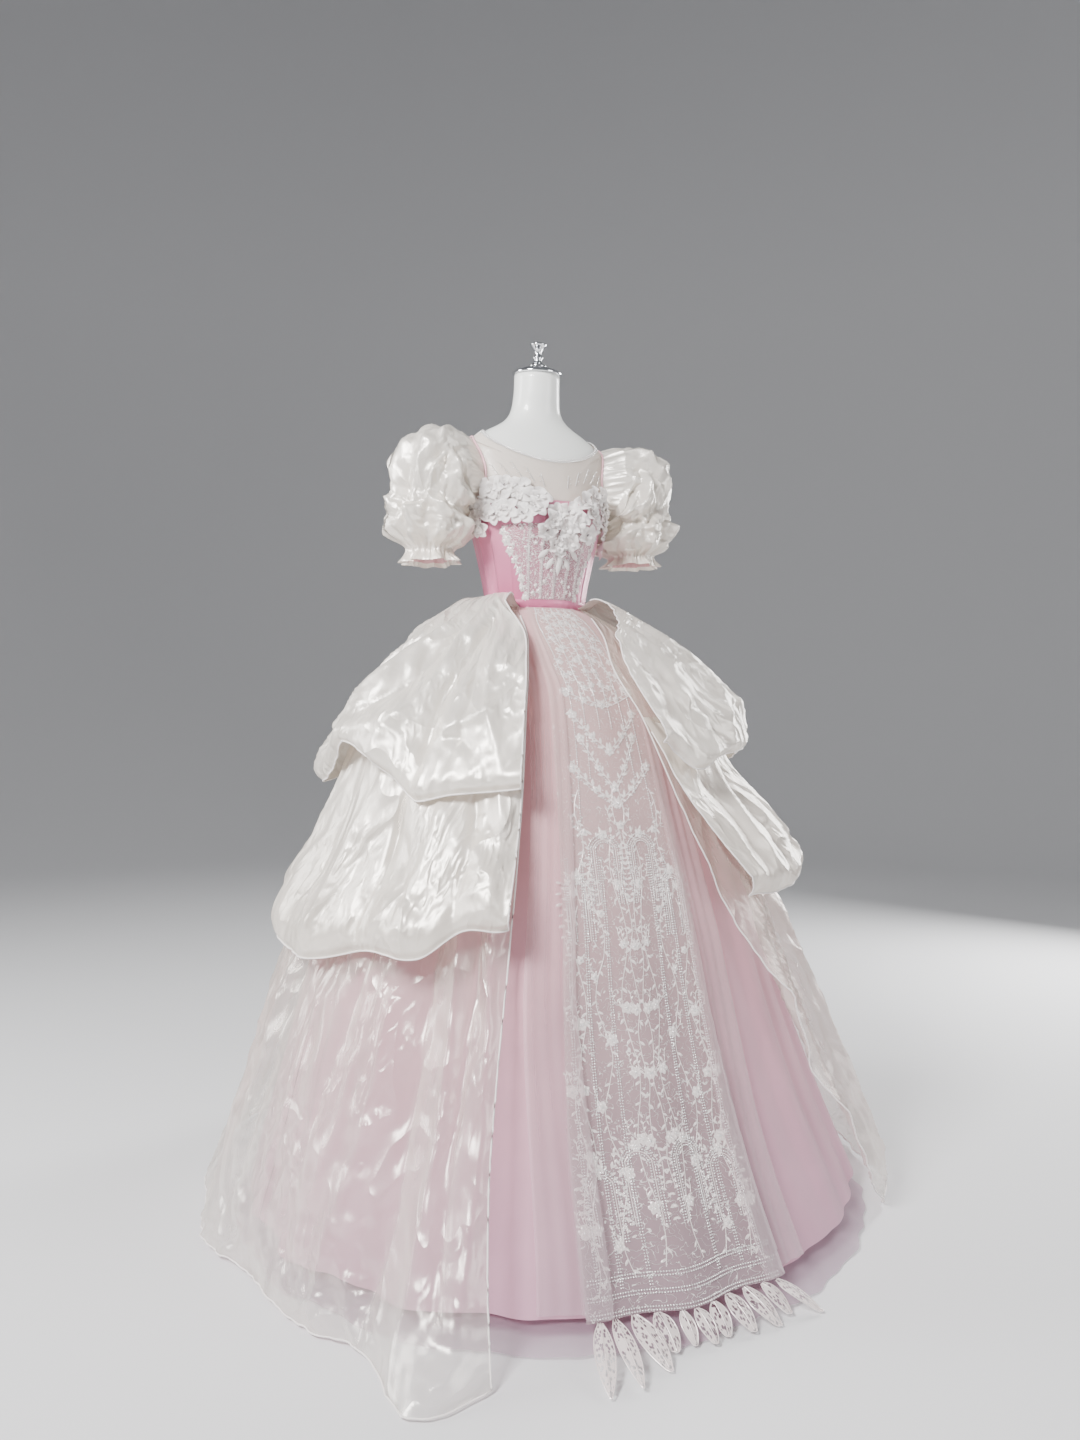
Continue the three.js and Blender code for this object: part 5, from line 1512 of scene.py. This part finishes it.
def flower_places():
    """Bearing, height and radius of each flower: rows under the garland's edge, and three buds below them."""
    rng = np.random.default_rng(7)
    places = [(3, 1287, 13), (-4, 1299, 12), (10, 1298, 12)]
    for row in range(3):
        for bearing in np.arange(-84 + 7 * row, 85, 13.5):
            z = garland(bearing) - 12 - (25 + 6 * bell(bearing, 3, 14)) * row + rng.normal(0, 3)
            places.append((bearing + rng.normal(0, 1.8), z, rng.uniform(23, 28) - 1.5 * row))
    return np.array(places)


def build_flowers():
    """Stamps a flower at each place, turned at random and raised by its own height, with beads in it."""
    rng = np.random.default_rng(11)
    petals, hearts, dark = [], [], []
    seed = bead(1.0)
    for bearing, z, radius in flower_places():
        points, faces = cloth_flower(rng)
        spin = rng.uniform(0, 2 * np.pi)
        c, s = math.cos(spin), math.sin(spin)
        x, y = points[:, 0], points[:, 1]
        flat = np.column_stack([x * c - y * s, x * s + y * c]) * radius
        high = 4.6 + rng.uniform(0, 3) + points[:, 2] * radius * 0.85
        petals.append((body_point(bearing + flat[:, 0] / BODICE_SCALE, z + flat[:, 1], high), faces))
        ring = [(rng.uniform(0, 2 * np.pi), r) for r in (0, 1.6, 1.9, 2.1, 2.3)]
        spots = [(r * math.cos(a), r * math.sin(a), 0, 1.25) for a, r in ring]
        p, f = stamp(seed, spots)
        placed = body_point(bearing + p[:, 0] / BODICE_SCALE, z + p[:, 1], 4.6 + radius * 0.3 + p[:, 2])
        (dark if rng.random() < 0.35 else hearts).append((placed, f))
    tip = (
        (3, 1268, -90), (-3, 1274, -120), (9, 1274, -60), (3, 1284, -80), (-8, 1290, -140), (14, 1290, -40),
    )
    for b, z, turn in tip:
        p, f = stamp(blade(26, 11, 3.0, 8), [(0, 0, turn, 1)])
        petals.append((body_point(b + p[:, 0] / BODICE_SCALE, z + p[:, 1], 5 + p[:, 2]), f))
    piece = make("cloth_flowers", *join(petals), PETAL)
    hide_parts("bust_flowers")
    for name, parts, material in (("flower_hearts", hearts, BEAD), ("flower_dark_hearts", dark, BEAD_DARK)):
        make(name, *join(parts), material)
    print("flowers", len(flower_places()), "triangles", len(piece.data.polygons) * 2)


def build_sprigs():
    """Beads in short sprigs on the yoke above the flowers, and along the neckline."""
    spots = []
    sprigs = (
        (10, 1412, 2, 8), (18, 1420, 5, 9), (27, 1428, 8, 10), (36, 1430, 10, 9), (45, 1424, 8, 9),
        (54, 1410, 4, 8),
    )
    for side in (-1, 1):
        for b, z, lean, n in sprigs:
            for i in range(n):
                spots.append((side * (b + lean * i / n), z + 3.4 * i, 1.3))
                if i % 3 == 2:
                    spots.append((side * (b + lean * i / n + 2.4), z + 3.4 * i + 2, 1.1))
    spots = np.array(spots)
    ring = np.arange(-180, 180, 1.05)
    neck = np.column_stack([ring, neckline(ring) + 3.2, np.full(len(ring), 1.7)])
    p, f = bead(1.0)
    parts = []
    for places, clear in ((spots, 3.9), (neck, 3.0), (neck + [0.5, -3.2, -0.6], 3.4)):
        b, z, size = places.T[:, :, None]
        P = body_point(b + p[:, 0] * size / 2.0, z + p[:, 1] * size, clear + p[:, 2] * size)
        starts = (np.arange(len(places)) * len(p))[:, None, None]
        parts.append((P.reshape(-1, 3), (f[None] + starts).reshape(-1, 4)))
    piece = make("neckline_beads", *join(parts), BEAD)
    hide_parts("neckline_beading")


build_flowers()
build_sprigs()

# %% [markdown]
# A plain pale floor, soft studio light from both sides and above, and a camera where the photo was taken
# from: level, 0.955 m up, and 25 degrees to the wearer's right of the front.

# %% Floor, light and camera
def build_floor():
    """A flat round floor whose far rim curves up, so that no edge shows behind the gown."""
    bent = np.linspace(0.05, np.pi / 2, 24)
    reach = np.concatenate([[0.01], np.linspace(1, 5.5, 10), 5.5 + 6 * np.sin(bent), [11.5, 11.5]])
    rise = np.concatenate([np.zeros(11), 6 - 6 * np.cos(bent), [10, 16]])
    turn = np.linspace(0, 2 * np.pi, 96, endpoint=False)
    reach, rise = reach[::-1, None], rise[::-1, None]
    P = np.stack([reach * np.sin(turn), -reach * np.cos(turn), rise + 0 * turn], -1)
    mesh = bpy.data.meshes.new("floor")
    mesh.from_pydata(P.reshape(-1, 3).tolist(), [], grid_faces(len(reach), 96, True)[:, ::-1].tolist())
    mesh.polygons.foreach_set("use_smooth", np.ones(len(mesh.polygons), bool))
    floor = bpy.data.objects.new("floor", mesh)
    bpy.context.scene.collection.objects.link(floor)
    mesh.materials.append(hard("floor_paint", (0.7, 0.7, 0.71), 0.8))


def add_light(name, place, aim, size, power):
    """A square area light at a place, aimed at a point."""
    light = bpy.data.lights.new(name, "AREA")
    light.shape = "RECTANGLE"
    light.size, light.size_y = size
    light.energy = power
    lamp = bpy.data.objects.new(name, light)
    bpy.context.scene.collection.objects.link(lamp)
    lamp.location = place
    lamp.rotation_euler = (Vector(aim) - Vector(place)).to_track_quat("-Z", "Y").to_euler()


def build_light():
    """A strong key from the viewer's upper left, a soft fill, a light at each side of the skirt, a sky."""
    add_light("key", (-2.9, -1.9, 3.2), (0, 0, 0.8), (1.1, 1.1), 370)
    add_light("fill", (2.4, -3.2, 1.8), (0, 0, 0.8), (1.4, 2.0), 60)
    add_light("rim_left", (-3.2, 1.2, 2.0), (0, 0, 0.7), (0.8, 2.2), 90)
    add_light("rim_right", (3.0, 0.9, 1.7), (0, 0, 0.6), (0.8, 2.2), 150)
    world = bpy.data.worlds.new("studio")
    world.use_nodes = True
    world.node_tree.nodes["Background"].inputs[0].default_value = (0.72, 0.74, 0.78, 1)
    world.node_tree.nodes["Background"].inputs[1].default_value = 0.27
    bpy.context.scene.world = world


def build_camera():
    """A level camera on the photo's bearing, with a small sideways shift."""
    bearing, distance, height = rad(-25), 2.25, 0.955
    lens = bpy.data.cameras.new("photo_view")
    lens.lens, lens.sensor_width, lens.sensor_fit = 27.5, 36, "AUTO"
    lens.shift_x = 5 / 1440
    camera = bpy.data.objects.new("photo_view", lens)
    bpy.context.scene.collection.objects.link(camera)
    camera.location = (distance * math.sin(bearing), -distance * math.cos(bearing), height)
    camera.rotation_euler = (math.pi / 2, 0, bearing)
    bpy.context.scene.camera = camera


build_floor()
build_light()
build_camera()
